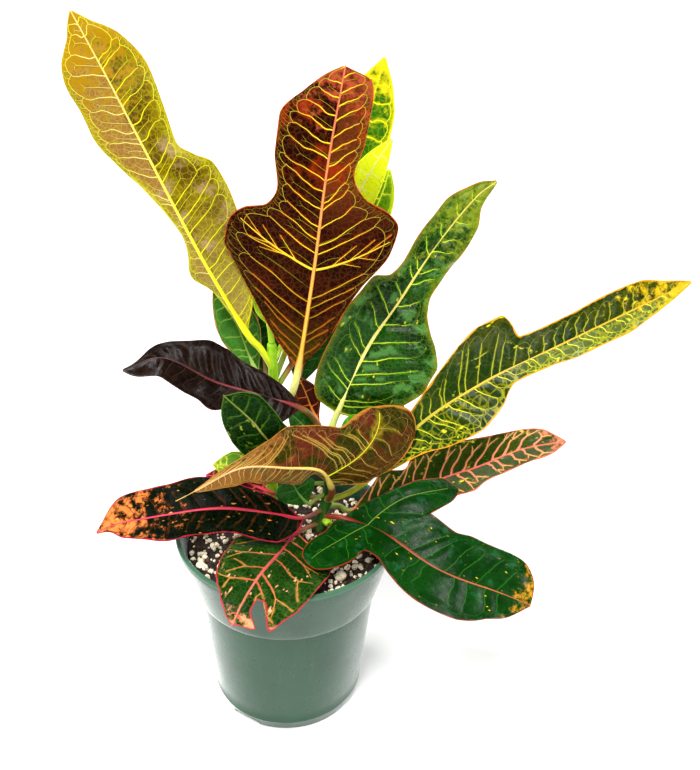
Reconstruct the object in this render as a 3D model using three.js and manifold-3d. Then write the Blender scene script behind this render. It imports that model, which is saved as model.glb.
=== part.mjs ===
// A croton in its nursery pot: two stems, lobed leaves on stalks, potting soil and a green plastic pot.
// Millimetres, +Z up. The origin is the middle of the pot's base; the plant's front looks towards -Y.
import * as THREE from "three";
import { mergeVertices } from "three/addons/utils/BufferGeometryUtils.js";
import Module from "manifold-3d";

const wasm = await Module();
wasm.setup();

// Driving dimensions of the pot
const POT_HEIGHT = 100;
const RIM_RADIUS = 54;
const LEDGE_HEIGHT = 69;
const LEDGE_RADIUS = 46.2;
const WALL_TOP_RADIUS = 44.4;
const BASE_RADIUS = 38;
const WALL = 1.3;
const FLOOR = 1.6;
const RIM_BEAD = 0.9;
const NOTCHES = 4;
const NOTCH_WIDTH = 17;
const NOTCH_HEIGHT = 3.4;
const NOTCH_DEPTH = 5;
const NOTCH_TURN = -30;
const ROUND_SIDES = 48;

// Driving dimensions of the soil and of what grows in it
const SOIL_TOP = 90;
const SOIL_LUMP = 1.1;
const GRAIN_COUNT = 70;
const GRAIN_RADIUS = 2.6;
const GRAIN_HEIGHT = 1.5;
const GAP = 0.3;
const STEM_DEPTH = 42;
const BLADE = 0.8;
const RIB_RADIUS = 1.05;
const STALK_STEP = 6;
const ROW_STEP = 8;
const VEIN_LEAN = 0.5;
const BROAD = 30;

const COLOURS = {
  pot: [0x2f5a44, 0.38],
  soil: [0x231b15, 0.95],
  stem_front: [0x3f5a26, 0.55],
  stem_back: [0x8fa62c, 0.5],
  deep: [0x1c3f1e, 0.35],
  olive: [0x6a7424, 0.4],
  maroon: [0x5a2418, 0.4],
  dark: [0x2a1518, 0.35],
  bright: [0x8fb52c, 0.45]
};

// Stems: points of the axis from the soil's depth up, and the radius at the foot and at the top
const STEMS = {
  stem_front: {
    path: [[13, 11, SOIL_TOP - STEM_DEPTH], [15, 11, 90], [19, 12, 108], [20, 14, 128], [20, 16, 144]],
    radius: [3.4, 2.4]
  },
  stem_back: {
    path: [[-10, 25, SOIL_TOP - STEM_DEPTH], [-10, 24, 90], [-9, 22, 125], [-7.5, 19, 160], [-8, 18, 190]],
    radius: [3.6, 2.2]
  }
};

// Leaves. stalk: points from the stem's axis to just under the blade. rib: points of the midrib.
// onTop: the stalk goes on from the stem's own end. under: the seen side is the underside.
// face: where the seen side looks, from base to tip. fold: rise of the left and right halves at the
// base and at the tip, in degrees. curl: how much each half bends over 30 mm of width, in degrees.
// rows: one for each pair of side veins, with its root along the rib, then how far along and how far
// out it ends on the left, and the same on the right. ripple: height and number of margin waves.
const LEAVES = [
  {
    name: "leaf_tall_left", stem: "stem_back", colour: "olive", under: true,
    stalk: [[-7.5, 18.5, 176], [-13, 15, 188]],
    rib: [[-19, 13, 197], [-36, 12, 230], [-54, 16, 266], [-73, 24, 302], [-88, 34, 326]],
    face: [[0.3, -1, 0.1], [0.3, -1, 0.2]], fold: [-50, -15, 6, 4], curl: [0, 0, -10, 0], ripple: [1.2, 5],
    rows: [[0, 0, 1, 0, 1], [6, 10, 2, 13, 11], [16, 22, 5, 23, 16], [28, 32, 10, 37, 20], [39, 42, 6, 51, 23],
      [49, 51, 4, 62, 24], [59, 61, 5, 72, 23], [67, 74, 9, 79, 17], [77, 87, 15, 86, 13],
      [93, 103, 18, 100, 15], [110, 120, 18, 118, 17], [125, 134, 14, 132, 13], [138, 143, 6, 143, 5],
      [149, 149, 0.6, 149, 0.6]]
  },
  {
    name: "leaf_maroon", stem: "stem_back", colour: "maroon", under: true,
    stalk: [[-8.5, 21, 144], [0, 13, 162]],
    rib: [[5, 9, 182], [12, 3, 232], [17, 2, 275], [23, 9, 312]],
    face: [[0, -1, 0.1], [0, -1, 0.1]], fold: [-10, -4, -10, -4], curl: [-8, 0, -8, 0], ripple: [0.8, 4],
    rows: [[0, 0, 1, 0, 1], [4, 10, 10, 7, 5], [14, 24, 22, 20, 12], [26, 43, 34, 35, 18], [34, 54, 40, 46, 23],
      [44, 64, 39, 60, 31], [54, 71, 33, 71, 33], [62, 75, 23, 78, 27], [72, 83, 19, 83, 17],
      [86, 97, 22, 93, 11], [100, 110, 22, 106, 13], [114, 121, 14, 121, 13], [124, 128, 7, 129, 11],
      [132, 132, 1, 132, 1]]
  },
  {
    name: "leaf_right_upper", stem: "stem_front", colour: "deep", onTop: true,
    stalk: [[20, 16, 144]],
    rib: [[23, 17, 154], [36, 22, 186], [50, 28, 208], [66, 36, 233], [82, 42, 253], [91, 45, 260]],
    face: [[0.1, -1, 0.4], [0.2, -1, 0.3]], fold: [12, 6, 12, 6], curl: [-10, -6, -10, -6], ripple: [0.6, 4],
    rows: [[0, 0, 1, 0, 1], [2, 5, 13, 3, 13], [8, 14, 17, 16, 26], [16, 25, 18, 30, 33], [25, 35, 18, 44, 33],
      [35, 46, 19, 53, 27], [45, 56, 18, 58, 20], [55, 65, 17, 64, 14], [63, 70, 11, 73, 11],
      [75, 80, 9, 84, 11], [89, 95, 10, 96, 12], [104, 109, 10, 109, 10], [116, 120, 6, 118, 5],
      [124, 125, 4, 125, 3], [131, 131, 0.6, 131, 0.6]]
  },
  {
    name: "leaf_right_long", stem: "stem_front", colour: "olive",
    stalk: [[18.6, 12, 106], [30, 10, 113]],
    rib: [[41, 8, 125], [63, 10, 154], [92, 15, 175], [127, 24, 191], [169, 38, 208], [188, 44, 216]],
    face: [[0.1, -0.8, 0.6], [0.1, -0.7, 0.7]], fold: [12, 8, 8, 4], curl: [-8, 0, -8, 0], ripple: [1, 5],
    rows: [[0, 0, 1, 0, 1], [8, 14, 3, 12, 6], [18, 23, 5, 24, 10], [31, 37, 8, 42, 17], [45, 54, 14, 58, 19],
      [57, 71, 21, 69, 16], [65, 81, 24, 75, 13], [73, 91, 24, 80, 9], [79, 94, 19, 85, 7],
      [86, 95, 12, 92, 7], [98, 106, 11, 103, 7], [113, 121, 11, 119, 9], [132, 141, 12, 140, 9],
      [150, 158, 11, 155, 7], [165, 170, 6, 169, 4], [181, 181, 0.6, 181, 0.6]]
  },
  {
    name: "leaf_right_pink", stem: "stem_front", colour: "deep",
    stalk: [[18.3, 11.8, 103], [25, 15, 101]],
    rib: [[32, 14, 99], [56, 17, 106], [78, 17, 119], [92, 16, 126], [112, 13, 139], [132, 9, 147]],
    face: [[0, -0.35, 0.9], [0.1, -0.6, 0.8]], fold: [14, 4, 14, 4], curl: [0, 0, 0, 0], ripple: [0.6, 4],
    rows: [[0, 0, 1, 0, 1], [5, 12, 10, 9, 3], [12, 21, 16, 18, 4], [19, 32, 13, 26, 6], [26, 39, 17, 34, 9],
      [35, 48, 17, 43, 11], [43, 55, 16, 51, 12], [53, 65, 15, 62, 12], [63, 79, 12, 71, 9],
      [78, 91, 10, 85, 8], [93, 102, 8, 99, 7], [104, 108, 4, 107, 4], [112, 112, 0.6, 112, 0.6]]
  },
  {
    name: "leaf_front_right", stem: "stem_front", colour: "deep",
    stalk: [[16.5, 11, 97]],
    rib: [[28, 2, 103], [48, -12, 105], [72, -29, 99], [97, -34, 92], [114, -39, 88]],
    face: [[0.2, -0.4, 0.9], [0.2, -0.4, 0.9]], fold: [38, 4, 20, 4], curl: [-12, -8, -12, -8], ripple: [0.6, 4],
    rows: [[0, 0, 1, 0, 1], [2, 13, 15, -2, 5], [6, 20, 24, 0, 15], [10, 25, 32, -1, 25], [14, 32, 39, 1, 34],
      [18, 39, 38, 10, 38], [20, 40, 33, 18, 33], [22, 38, 26, 22, 25], [25, 36, 20, 23, 16],
      [32, 46, 20, 30, 16], [42, 56, 20, 41, 19], [54, 67, 21, 54, 22], [66, 80, 21, 66, 21],
      [78, 90, 20, 79, 17], [88, 96, 16, 89, 12], [95, 99, 9, 95, 6], [99.5, 99.5, 0.6, 99.5, 0.6]]
  },
  {
    name: "leaf_front", stem: "stem_front", colour: "deep",
    stalk: [[15.2, 11, 93]],
    rib: [[5, -3, 97], [-1, -22, 101], [-8, -42, 105], [-14, -58, 103], [-18, -68, 98]],
    face: [[0, -0.3, 0.95], [0, -0.5, 0.9]], fold: [-2, 8, 0, 0], curl: [-4, -8, -12, -8], ripple: [0.5, 3],
    rows: [[0, 0, 1, 0, 1], [2, 8, 13, 6, 10], [6, 15, 22, 13, 17], [12, 25, 26, 24, 23], [22, 37, 26, 36, 21],
      [34, 52, 24, 46, 19], [42, 62, 20, 50, 18], [46, 68, 16, 53, 17], [48, 57, 9, 54, 16],
      [52, 57, 5, 57, 14], [56, 62, 5, 60, 11], [60, 69, 10, 63, 9], [64, 70, 7, 66, 6],
      [68, 70, 4, 69, 3], [70.5, 70.5, 0.6, 70.5, 0.6]]
  },
  {
    name: "leaf_left_low", stem: "stem_front", colour: "dark",
    stalk: [[17.4, 11.5, 101]],
    rib: [[7, -3, 106], [-5, -7, 111], [-30, -9, 115], [-56, -13, 113], [-79, -15, 108], [-88, -18, 105]],
    face: [[0, -0.5, 0.9], [-0.1, -0.5, 0.9]], fold: [10, 4, 10, 4], curl: [-10, -8, -10, -8], ripple: [0.6, 4],
    rows: [[0, 0, 1, 0, 1], [2, 5, 9, 7, 4], [7, 13, 15, 16, 8], [16, 24, 14, 27, 11], [28, 36, 13, 39, 14],
      [42, 50, 13, 52, 17], [56, 63, 14, 65, 15], [68, 75, 11, 77, 15], [80, 86, 8, 87, 13],
      [90, 93, 3, 95, 4], [99, 99, 0.6, 99, 0.6]]
  },
  {
    name: "leaf_twisted", stem: "stem_front", colour: "olive", under: true,
    stalk: [[18.8, 12, 107], [21, 5, 114]],
    rib: [[21, 2, 122], [16, -6, 136], [2, -12, 141], [-19, -18, 144], [-39, -24, 135]],
    face: [[0, -0.8, 0.5], [0, -0.8, 0.5]], fold: [-55, -20, 8, 4], curl: [0, 0, 0, 0], ripple: [0.8, 4],
    rows: [[0, 0, 1, 0, 1], [2, 5, 4, -1, 16], [5, 9, 7, 4, 28], [8, 13, 8, 8, 39], [11, 17, 9, 13, 50],
      [14, 20, 10, 16, 38], [17, 23, 10, 18, 22], [22, 28, 10, 25, 20], [32, 37, 10, 35, 19],
      [42, 46, 9, 44, 12], [54, 57, 8, 56, 4], [66, 68, 5, 67, 2], [78, 78, 0.6, 78, 0.6]]
  },
  {
    name: "leaf_purple", stem: "stem_front", colour: "dark",
    stalk: [[20, 15.3, 138], [12, 12, 153]],
    rib: [[6, 5, 163], [-10, 6, 168], [-33, 9, 173], [-57, 12, 183], [-76, 16, 174]],
    face: [[0, -0.75, 0.65], [0, -0.6, 0.8]], fold: [8, 4, 8, 4], curl: [0, 0, 0, 0], ripple: [1, 3],
    rows: [[0, 0, 1, 0, 1], [5, 8, 11, 11, 7], [12, 13, 9, 20, 10], [22, 27, 9, 31, 13], [31, 38, 14, 42, 16],
      [41, 46, 11, 51, 16], [53, 58, 11, 61, 11], [66, 67, 10, 71, 6], [80, 82, 6, 82, 2],
      [90, 90, 0.6, 90, 0.6]]
  },
  {
    name: "leaf_small_left", stem: "stem_front", colour: "deep",
    stalk: [[19.7, 14, 123]],
    rib: [[5, 8, 136], [-7, -3, 149], [-15, -9, 164], [-26, -14, 179]],
    face: [[0, -0.9, 0.4], [0, -0.9, 0.4]], fold: [8, 4, 8, 4], curl: [0, 0, 0, 0], ripple: [0, 3],
    rows: [[0, 0, 1, 0, 1], [4, 9, 8, 12, 8], [14, 21, 12, 23, 11], [26, 33, 13, 34, 11], [37, 44, 11, 45, 11],
      [48, 52, 7, 52, 8], [57.5, 57.5, 0.6, 57.5, 0.6]]
  }
];

// Smaller leaves with a plain oval outline: width is the widest half, and peak above 1 moves it outwards
const OVAL_LEAVES = [
  { name: "leaf_small_low", stem: "stem_front", colour: "deep", width: 10, peak: 1,
    stalk: [[19.1, 12.3, 111.5], [13, 8, 109]], rib: [[10, 4, 110], [5, 2, 118], [1, 3, 127]],
    face: [[0, -0.9, 0.4], [0, -0.9, 0.4]] },
  { name: "leaf_small_middle", stem: "stem_front", colour: "deep", width: 6, peak: 1,
    stalk: [[20, 14.4, 130]], rib: [[13, 19, 135], [7, 23, 142], [-1, 25, 149]],
    face: [[0, -0.7, 0.7], [0, -0.7, 0.7]] },
  { name: "leaf_small_red", stem: "stem_front", colour: "dark", width: 6, peak: 1,
    stalk: [[20, 15.6, 139], [16, 17, 142]], rib: [[14, 18, 148], [11, 20, 153], [7, 22, 163], [4, 22, 170]],
    face: [[0.2, -0.9, 0.3], [0.2, -0.9, 0.3]] },
  { name: "leaf_small_bright", stem: "stem_front", colour: "bright", width: 4.5, peak: 1,
    stalk: [[20, 15, 134], [24, 11, 139]], rib: [[25, 10, 147], [30, 9, 153], [37, 8, 155]],
    face: [[0, -0.5, 0.9], [0, -0.5, 0.9]] },
  { name: "leaf_small_behind", stem: "stem_front", colour: "deep", width: 7, peak: 1,
    stalk: [[20, 14.8, 134]], rib: [[29, 22, 140], [43, 30, 144], [56, 34, 149]],
    face: [[0, -0.6, 0.8], [0, -0.6, 0.8]] },
  { name: "leaf_left_green", stem: "stem_front", colour: "bright", width: 8, peak: 1,
    stalk: [[19.2, 12.5, 116], [3, 12, 117]], rib: [[-12, 14, 121], [-22, 17, 121], [-38, 17, 122]],
    face: [[0, -0.5, 0.9], [0, -0.5, 0.9]] },
  { name: "leaf_left_red", stem: "stem_front", colour: "dark", width: 8, peak: 1,
    stalk: [[18.8, 12.2, 109], [3, 13, 106]], rib: [[-10, 14, 109], [-18, 16, 111], [-28, 18, 113], [-42, 18, 115]],
    face: [[0, -0.4, 0.9], [0, -0.4, 0.9]] },
  { name: "leaf_back_left", stem: "stem_back", colour: "deep", width: 10, peak: 1,
    stalk: [[-7.6, 19.4, 155]], rib: [[-16, 27, 168], [-21, 31, 178], [-27, 35, 192], [-37, 38, 206]],
    face: [[0.3, -0.9, 0.3], [0.3, -0.9, 0.3]] },
  { name: "leaf_back_big", stem: "stem_back", colour: "deep", width: 17, peak: 1,
    stalk: [[-7.8, 20, 150]], rib: [[-12, 33, 160], [-16, 42, 180], [-20, 50, 203], [-24, 60, 222]],
    face: [[0.1, -0.9, 0.4], [0.1, -0.9, 0.4]] },
  { name: "leaf_back_big_right", stem: "stem_back", colour: "deep", width: 17, peak: 1,
    stalk: [[-8, 20.5, 146]], rib: [[2, 35, 158], [8, 45, 180], [13, 55, 205], [17, 66, 222]],
    face: [[0, -0.9, 0.4], [0, -0.9, 0.4]] },
  { name: "leaf_back_top", stem: "stem_back", colour: "olive", width: 12, peak: 1.6,
    stalk: [[-7.7, 18.8, 168], [2, 33, 192]],
    rib: [[10, 38, 215], [19, 42, 245], [29, 46, 272], [35, 49, 295], [39, 52, 310]],
    face: [[0, -0.95, 0.3], [0, -0.95, 0.3]] },
  { name: "leaf_lime", stem: "stem_back", colour: "bright", width: 8, peak: 1.3,
    stalk: [[-7.8, 18.4, 180], [4, 23, 200]],
    rib: [[11, 26, 216], [20, 28, 240], [28, 30, 254], [36, 31, 269], [43, 32, 280]],
    face: [[0, -0.95, 0.3], [0, -0.95, 0.3]] },
  { name: "leaf_back_right", stem: "stem_back", colour: "olive", width: 8, peak: 1.5,
    stalk: [[-7.5, 19, 163], [6, 29, 184]],
    rib: [[14, 31, 202], [25, 35, 222], [34, 38, 240], [40, 40, 254], [43, 41, 265]],
    face: [[0, -0.95, 0.3], [0, -0.95, 0.3]] },
  { name: "leaf_young", stem: "stem_back", colour: "bright", width: 4.5, peak: 1, onTop: true,
    stalk: [[-8, 18, 190]], rib: [[-9, 18, 198], [-11, 18, 207], [-13, 18, 217]],
    face: [[0.2, -0.9, 0.2], [0.2, -0.9, 0.2]] }
];

// One smooth curve through the points, with lengths measured along it
function smoothCurve(points) {
  const vectors = points.map((p) => new THREE.Vector3(...p));
  const curve = new THREE.CatmullRomCurve3(vectors, false, "catmullrom", 0.5);
  curve.arcLengthDivisions = 40 * (points.length - 1);
  return curve;
}

// Even-tempered curve through a column of numbers: it never swings past them
function steadyValue(values, position) {
  const last = values.length - 1;
  const i = Math.min(Math.floor(position), last - 1);
  const f = position - i;
  const rise = (k) => values[k + 1] - values[k];
  const slope = (k) => {
    if (k === 0) return rise(0);
    if (k === last) return rise(last - 1);
    const a = rise(k - 1);
    const b = rise(k);
    return a * b <= 0 ? 0 : (2 * a * b) / (a + b);
  };
  const f2 = f * f;
  const f3 = f2 * f;
  return (2 * f3 - 3 * f2 + 1) * values[i] + (f3 - 2 * f2 + f) * slope(i) +
    (-2 * f3 + 3 * f2) * values[i + 1] + (f3 - f2) * slope(i + 1);
}

// The leaf's surface: a point and its normal for a place along the rib and out from it
function leafSurface(leaf) {
  const curve = smoothCurve([...leaf.stalk, ...leaf.rib]);
  const lengths = curve.getLengths();
  const total = lengths[lengths.length - 1];
  const stalkLength = lengths[40 * leaf.stalk.length];
  const bladeLength = total - stalkLength;
  const faces = leaf.face.map((f) => new THREE.Vector3(...f).normalize());
  const fold = leaf.fold ?? [8, 4, 8, 4];
  const curl = leaf.curl ?? [0, 0, 0, 0];

  function axes(along) {
    const distance = stalkLength + along;
    const share = THREE.MathUtils.clamp(along / bladeLength, 0, 1);
    const u = THREE.MathUtils.clamp(distance / total, 0, 1);
    const forward = curve.getTangentAt(u).normalize();
    const centre = curve.getPointAt(u).addScaledVector(forward, distance - u * total);
    const up = faces[0].clone().lerp(faces[1], share).normalize();
    up.addScaledVector(forward, -up.dot(forward)).normalize();
    const right = new THREE.Vector3().crossVectors(forward, up);
    return { forward, centre, up, right, share };
  }

  function place(along, across) {
    const { centre, up, right, share } = axes(along);
    const side = across < 0 ? -1 : 1;
    const pick = side < 0 ? 0 : 2;
    const lift = THREE.MathUtils.degToRad(THREE.MathUtils.lerp(fold[pick], fold[pick + 1], share));
    const bend = THREE.MathUtils.degToRad(THREE.MathUtils.lerp(curl[pick], curl[pick + 1], share)) / BROAD;
    const reach = Math.abs(across);
    const end = lift + bend * reach;
    const even = Math.abs(bend) < 1e-6;
    const out = even ? reach * Math.cos(lift) : (Math.sin(end) - Math.sin(lift)) / bend;
    const rise = even ? reach * Math.sin(lift) : (Math.cos(lift) - Math.cos(end)) / bend;
    const point = centre.clone().addScaledVector(right, side * out).addScaledVector(up, rise);
    const normal = up.clone().multiplyScalar(Math.cos(end)).addScaledVector(right, -side * Math.sin(end));
    return { point, normal };
  }

  return { stalkLength, bladeLength, axes, place };
}

// Rows of the blade: the drawn ones, with one more where two lie far apart
function bladeRows(rows) {
  const columns = [0, 1, 2, 3, 4].map((c) => rows.map((row) => row[c]));
  const finished = [];
  for (let i = 0; i < rows.length - 1; i++) {
    finished.push(rows[i]);
    if (rows[i + 1][0] - rows[i][0] > ROW_STEP) {
      finished.push(columns.map((values) => steadyValue(values, i + 0.5)));
    }
  }
  finished.push(rows[rows.length - 1]);
  return finished;
}

// An oval blade's rows from its length, half width and the place of its widest part
function ovalRows(length, width, peak) {
  const shares = [0, 0.05, 0.16, 0.3, 0.45, 0.6, 0.75, 0.88, 1];
  return shares.map((share) => {
    const half = Math.max(0.6, width * Math.sin(Math.PI * share ** peak) ** 0.8);
    const root = share * length;
    const along = Math.min(root + VEIN_LEAN * half * (1 - share), length);
    return [root, along, half, along, half];
  });
}

// A closed skin over a stack of rings with the same number of points each
function skin(rings) {
  const count = rings[0].length;
  const positions = rings.flat().flatMap((p) => [p.x, p.y, p.z]);
  const faces = [];
  for (let r = 0; r < rings.length - 1; r++) {
    for (let k = 0; k < count; k++) {
      const next = (k + 1) % count;
      const a = r * count + k;
      const b = r * count + next;
      // the same diagonal on both faces keeps a thin blade even
      if (k < count / 2) faces.push(a, b, b + count, a, b + count, a + count);
      else faces.push(a, b, a + count, b, b + count, a + count);
    }
  }
  const last = (rings.length - 1) * count;
  for (let k = 1; k < count / 2; k++) {
    const low = count - k;
    faces.push(k - 1, low, k, ...(k > 1 ? [k - 1, low + 1, low] : []));
    faces.push(last + k - 1, last + k, last + low, ...(k > 1 ? [last + k - 1, last + low, last + low + 1] : []));
  }
  const middle = count / 2;
  faces.push(middle - 1, middle + 1, middle, last + middle - 1, last + middle, last + middle + 1);
  const geometry = new THREE.BufferGeometry();
  geometry.setAttribute("position", new THREE.Float32BufferAttribute(positions, 3));
  geometry.setIndex(faces);
  return outward(geometry);
}

// The volume that the faces enclose, negative where they point in
function enclosed(geometry) {
  const place = geometry.getAttribute("position");
  const index = geometry.getIndex();
  const [a, b, c] = [new THREE.Vector3(), new THREE.Vector3(), new THREE.Vector3()];
  let sum = 0;
  for (let i = 0; i < index.count; i += 3) {
    a.fromBufferAttribute(place, index.getX(i));
    b.fromBufferAttribute(place, index.getX(i + 1));
    c.fromBufferAttribute(place, index.getX(i + 2));
    sum += a.dot(b.cross(c)) / 6;
  }
  return sum;
}

function outward(geometry) {
  if (enclosed(geometry) < 0) {
    const index = geometry.getIndex();
    for (let i = 0; i < index.count; i += 3) {
      const second = index.getX(i + 1);
      index.setX(i + 1, index.getX(i + 2));
      index.setX(i + 2, second);
    }
  }
  geometry.computeVertexNormals();
  return geometry;
}

// A round ring of points, its first half over the top and its second half below
function roundRing(centre, right, up, radius, halfCount) {
  const ring = [];
  for (let k = 0; k < 2 * halfCount; k++) {
    const angle = Math.PI - ((k + 0.5) * Math.PI) / halfCount;
    ring.push(centre.clone().addScaledVector(right, radius * Math.cos(angle))
      .addScaledVector(up, radius * Math.sin(angle)));
  }
  return ring;
}

const SHARES = [-1, -0.66, -0.33, 0, 0.33, 0.66, 1];

// One leaf: a round stalk that opens into a thin blade with a raised midrib on its underside
function leafGeometry(leaf) {
  const surface = leafSurface(leaf);
  const rows = bladeRows(leaf.rows ?? ovalRows(surface.bladeLength, leaf.width, leaf.peak));
  const ripple = leaf.ripple ?? [0, 1];
  const stalkRadius = leaf.rows ? RIB_RADIUS * 1.25 : RIB_RADIUS;
  const rings = [];

  const start = stalkStart(leaf, surface, stalkRadius);
  const steps = Math.max(2, Math.round((surface.stalkLength - start) / STALK_STEP));
  for (let i = 0; i < steps; i++) {
    const share = i / steps;
    const along = THREE.MathUtils.lerp(start, surface.stalkLength, share) - surface.stalkLength;
    const { centre, right, up } = surface.axes(along);
    rings.push(roundRing(centre, right, up, THREE.MathUtils.lerp(stalkRadius * 1.1, stalkRadius, share), 7));
  }

  const half = BLADE / 2;
  for (const [root, leftAlong, leftOut, rightAlong, rightOut] of rows) {
    const top = [];
    const low = [];
    for (const share of SHARES) {
      const s = Math.abs(share);
      const [endAlong, endOut] = share < 0 ? [leftAlong, leftOut] : [rightAlong, rightOut];
      const along = root + (endAlong - root) * s;
      const { point, normal } = surface.place(along, Math.sign(share) * endOut * s);
      const phase = (2 * Math.PI * ripple[1] * root) / surface.bladeLength + (share < 0 ? 1.3 : 0);
      const wave = ripple[0] * s * s * Math.sin(phase) * Math.min(1, endOut / 8);
      const under = s === 0 ? RIB_RADIUS * (1.1 - root / surface.bladeLength / 2) : half;
      top.push(point.clone().addScaledVector(normal, wave + (leaf.under ? under : half)));
      low.unshift(point.clone().addScaledVector(normal, wave - (leaf.under ? half : under)));
    }
    rings.push([...top, ...low]);
  }
  return skin(rings);
}

// How far along its stalk a leaf starts, so that its cut end clears the stem by the gap
function stalkStart(leaf, surface, radius) {
  if (leaf.onTop) return 2.5 * GAP;
  const stem = STEMS[leaf.stem];
  const axis = smoothCurve(stem.path);
  const height = leaf.stalk[0][2];
  const [foot, top] = [stem.path[0][2], stem.path[stem.path.length - 1][2]];
  const share = THREE.MathUtils.clamp((height - foot) / (top - foot), 0, 1);
  const stemRadius = THREE.MathUtils.lerp(stem.radius[0], stem.radius[1], share);
  const upward = axis.getTangentAt(share);
  let start = stemRadius;
  for (let i = 0; i < 4; i++) {
    const { centre, forward } = surface.axes(start - surface.stalkLength);
    const level = THREE.MathUtils.clamp((centre.z - foot) / (top - foot), 0, 1);
    const clear = centre.distanceTo(axis.getPointAt(level));
    const cosine = Math.abs(forward.dot(upward));
    start += stemRadius + 1.6 * GAP + 1.1 * radius * cosine - clear;
  }
  return start;
}

function stemGeometry(stem) {
  const curve = smoothCurve(stem.path);
  const steps = 14;
  const rings = [];
  for (let i = 0; i <= steps; i++) {
    const share = i / steps;
    const forward = curve.getTangentAt(share);
    const up = new THREE.Vector3(0, -1, 0).addScaledVector(forward, forward.y).normalize();
    const right = new THREE.Vector3().crossVectors(forward, up);
    const radius = THREE.MathUtils.lerp(stem.radius[0], stem.radius[1], share);
    rings.push(roundRing(curve.getPointAt(share), right, up, radius, 6));
  }
  return skin(rings);
}

// Conversions for cutting one closed solid by another
function toSolid(geometry) {
  const bare = geometry.clone();
  bare.deleteAttribute("normal");
  bare.deleteAttribute("uv");
  const merged = mergeVertices(bare, 1e-4);
  return new wasm.Manifold(new wasm.Mesh({
    numProp: 3,
    vertProperties: new Float32Array(merged.getAttribute("position").array),
    triVerts: new Uint32Array(merged.getIndex().array)
  }));
}

function toGeometry(solid) {
  const mesh = solid.getMesh();
  const geometry = new THREE.BufferGeometry();
  geometry.setAttribute("position", new THREE.Float32BufferAttribute(mesh.vertProperties, 3));
  geometry.setIndex(Array.from(mesh.triVerts));
  geometry.computeVertexNormals();
  return geometry;
}

// The inner wall's radius at a height, with the rim band above the ledge flaring more
function innerRadius(height) {
  const band = (height - LEDGE_HEIGHT) / (POT_HEIGHT - LEDGE_HEIGHT);
  const body = height / LEDGE_HEIGHT;
  const outer = band > 0
    ? THREE.MathUtils.lerp(LEDGE_RADIUS, RIM_RADIUS, band)
    : THREE.MathUtils.lerp(BASE_RADIUS, WALL_TOP_RADIUS, body);
  return outer - WALL;
}

function potGeometry() {
  const below = LEDGE_HEIGHT - 1;
  const profile = [
    [0, 0], [BASE_RADIUS - 1, 0], [BASE_RADIUS, 1], [WALL_TOP_RADIUS, below], [LEDGE_RADIUS, LEDGE_HEIGHT],
    [RIM_RADIUS - RIM_BEAD, POT_HEIGHT - 3], [RIM_RADIUS, POT_HEIGHT - 2.4], [RIM_RADIUS, POT_HEIGHT - 0.5],
    [RIM_RADIUS - 0.5, POT_HEIGHT], [RIM_RADIUS - RIM_BEAD - WALL, POT_HEIGHT],
    [innerRadius(POT_HEIGHT - 3) - RIM_BEAD / 3, POT_HEIGHT - 3], [innerRadius(LEDGE_HEIGHT + 1), LEDGE_HEIGHT + 1],
    [innerRadius(below), below], [innerRadius(FLOOR), FLOOR], [0, FLOOR]
  ];
  const points = profile.map(([radius, height]) => new THREE.Vector2(radius, height));
  const body = new THREE.LatheGeometry(points, ROUND_SIDES);
  body.rotateX(Math.PI / 2);
  let solid = toSolid(outward(mergeVertices(stripped(body), 1e-4)));
  for (let i = 0; i < NOTCHES; i++) {
    const notch = new THREE.CylinderGeometry(NOTCH_WIDTH / 2, NOTCH_WIDTH / 2, 2 * NOTCH_DEPTH, 16);
    notch.scale(1, 1, NOTCH_HEIGHT / (NOTCH_WIDTH / 2));
    notch.translate(0, BASE_RADIUS, 0);
    notch.rotateZ(THREE.MathUtils.degToRad(NOTCH_TURN - 90 + (360 / NOTCHES) * i));
    solid = solid.subtract(toSolid(notch));
  }
  return toGeometry(solid);
}

function stripped(geometry) {
  const bare = geometry.clone();
  bare.deleteAttribute("normal");
  bare.deleteAttribute("uv");
  return bare;
}

// A repeatable row of draws between 0 and 1
function drawer(seed) {
  let state = seed;
  return () => {
    state = (state * 1664525 + 1013904223) % 4294967296;
    return state / 4294967296;
  };
}

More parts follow.
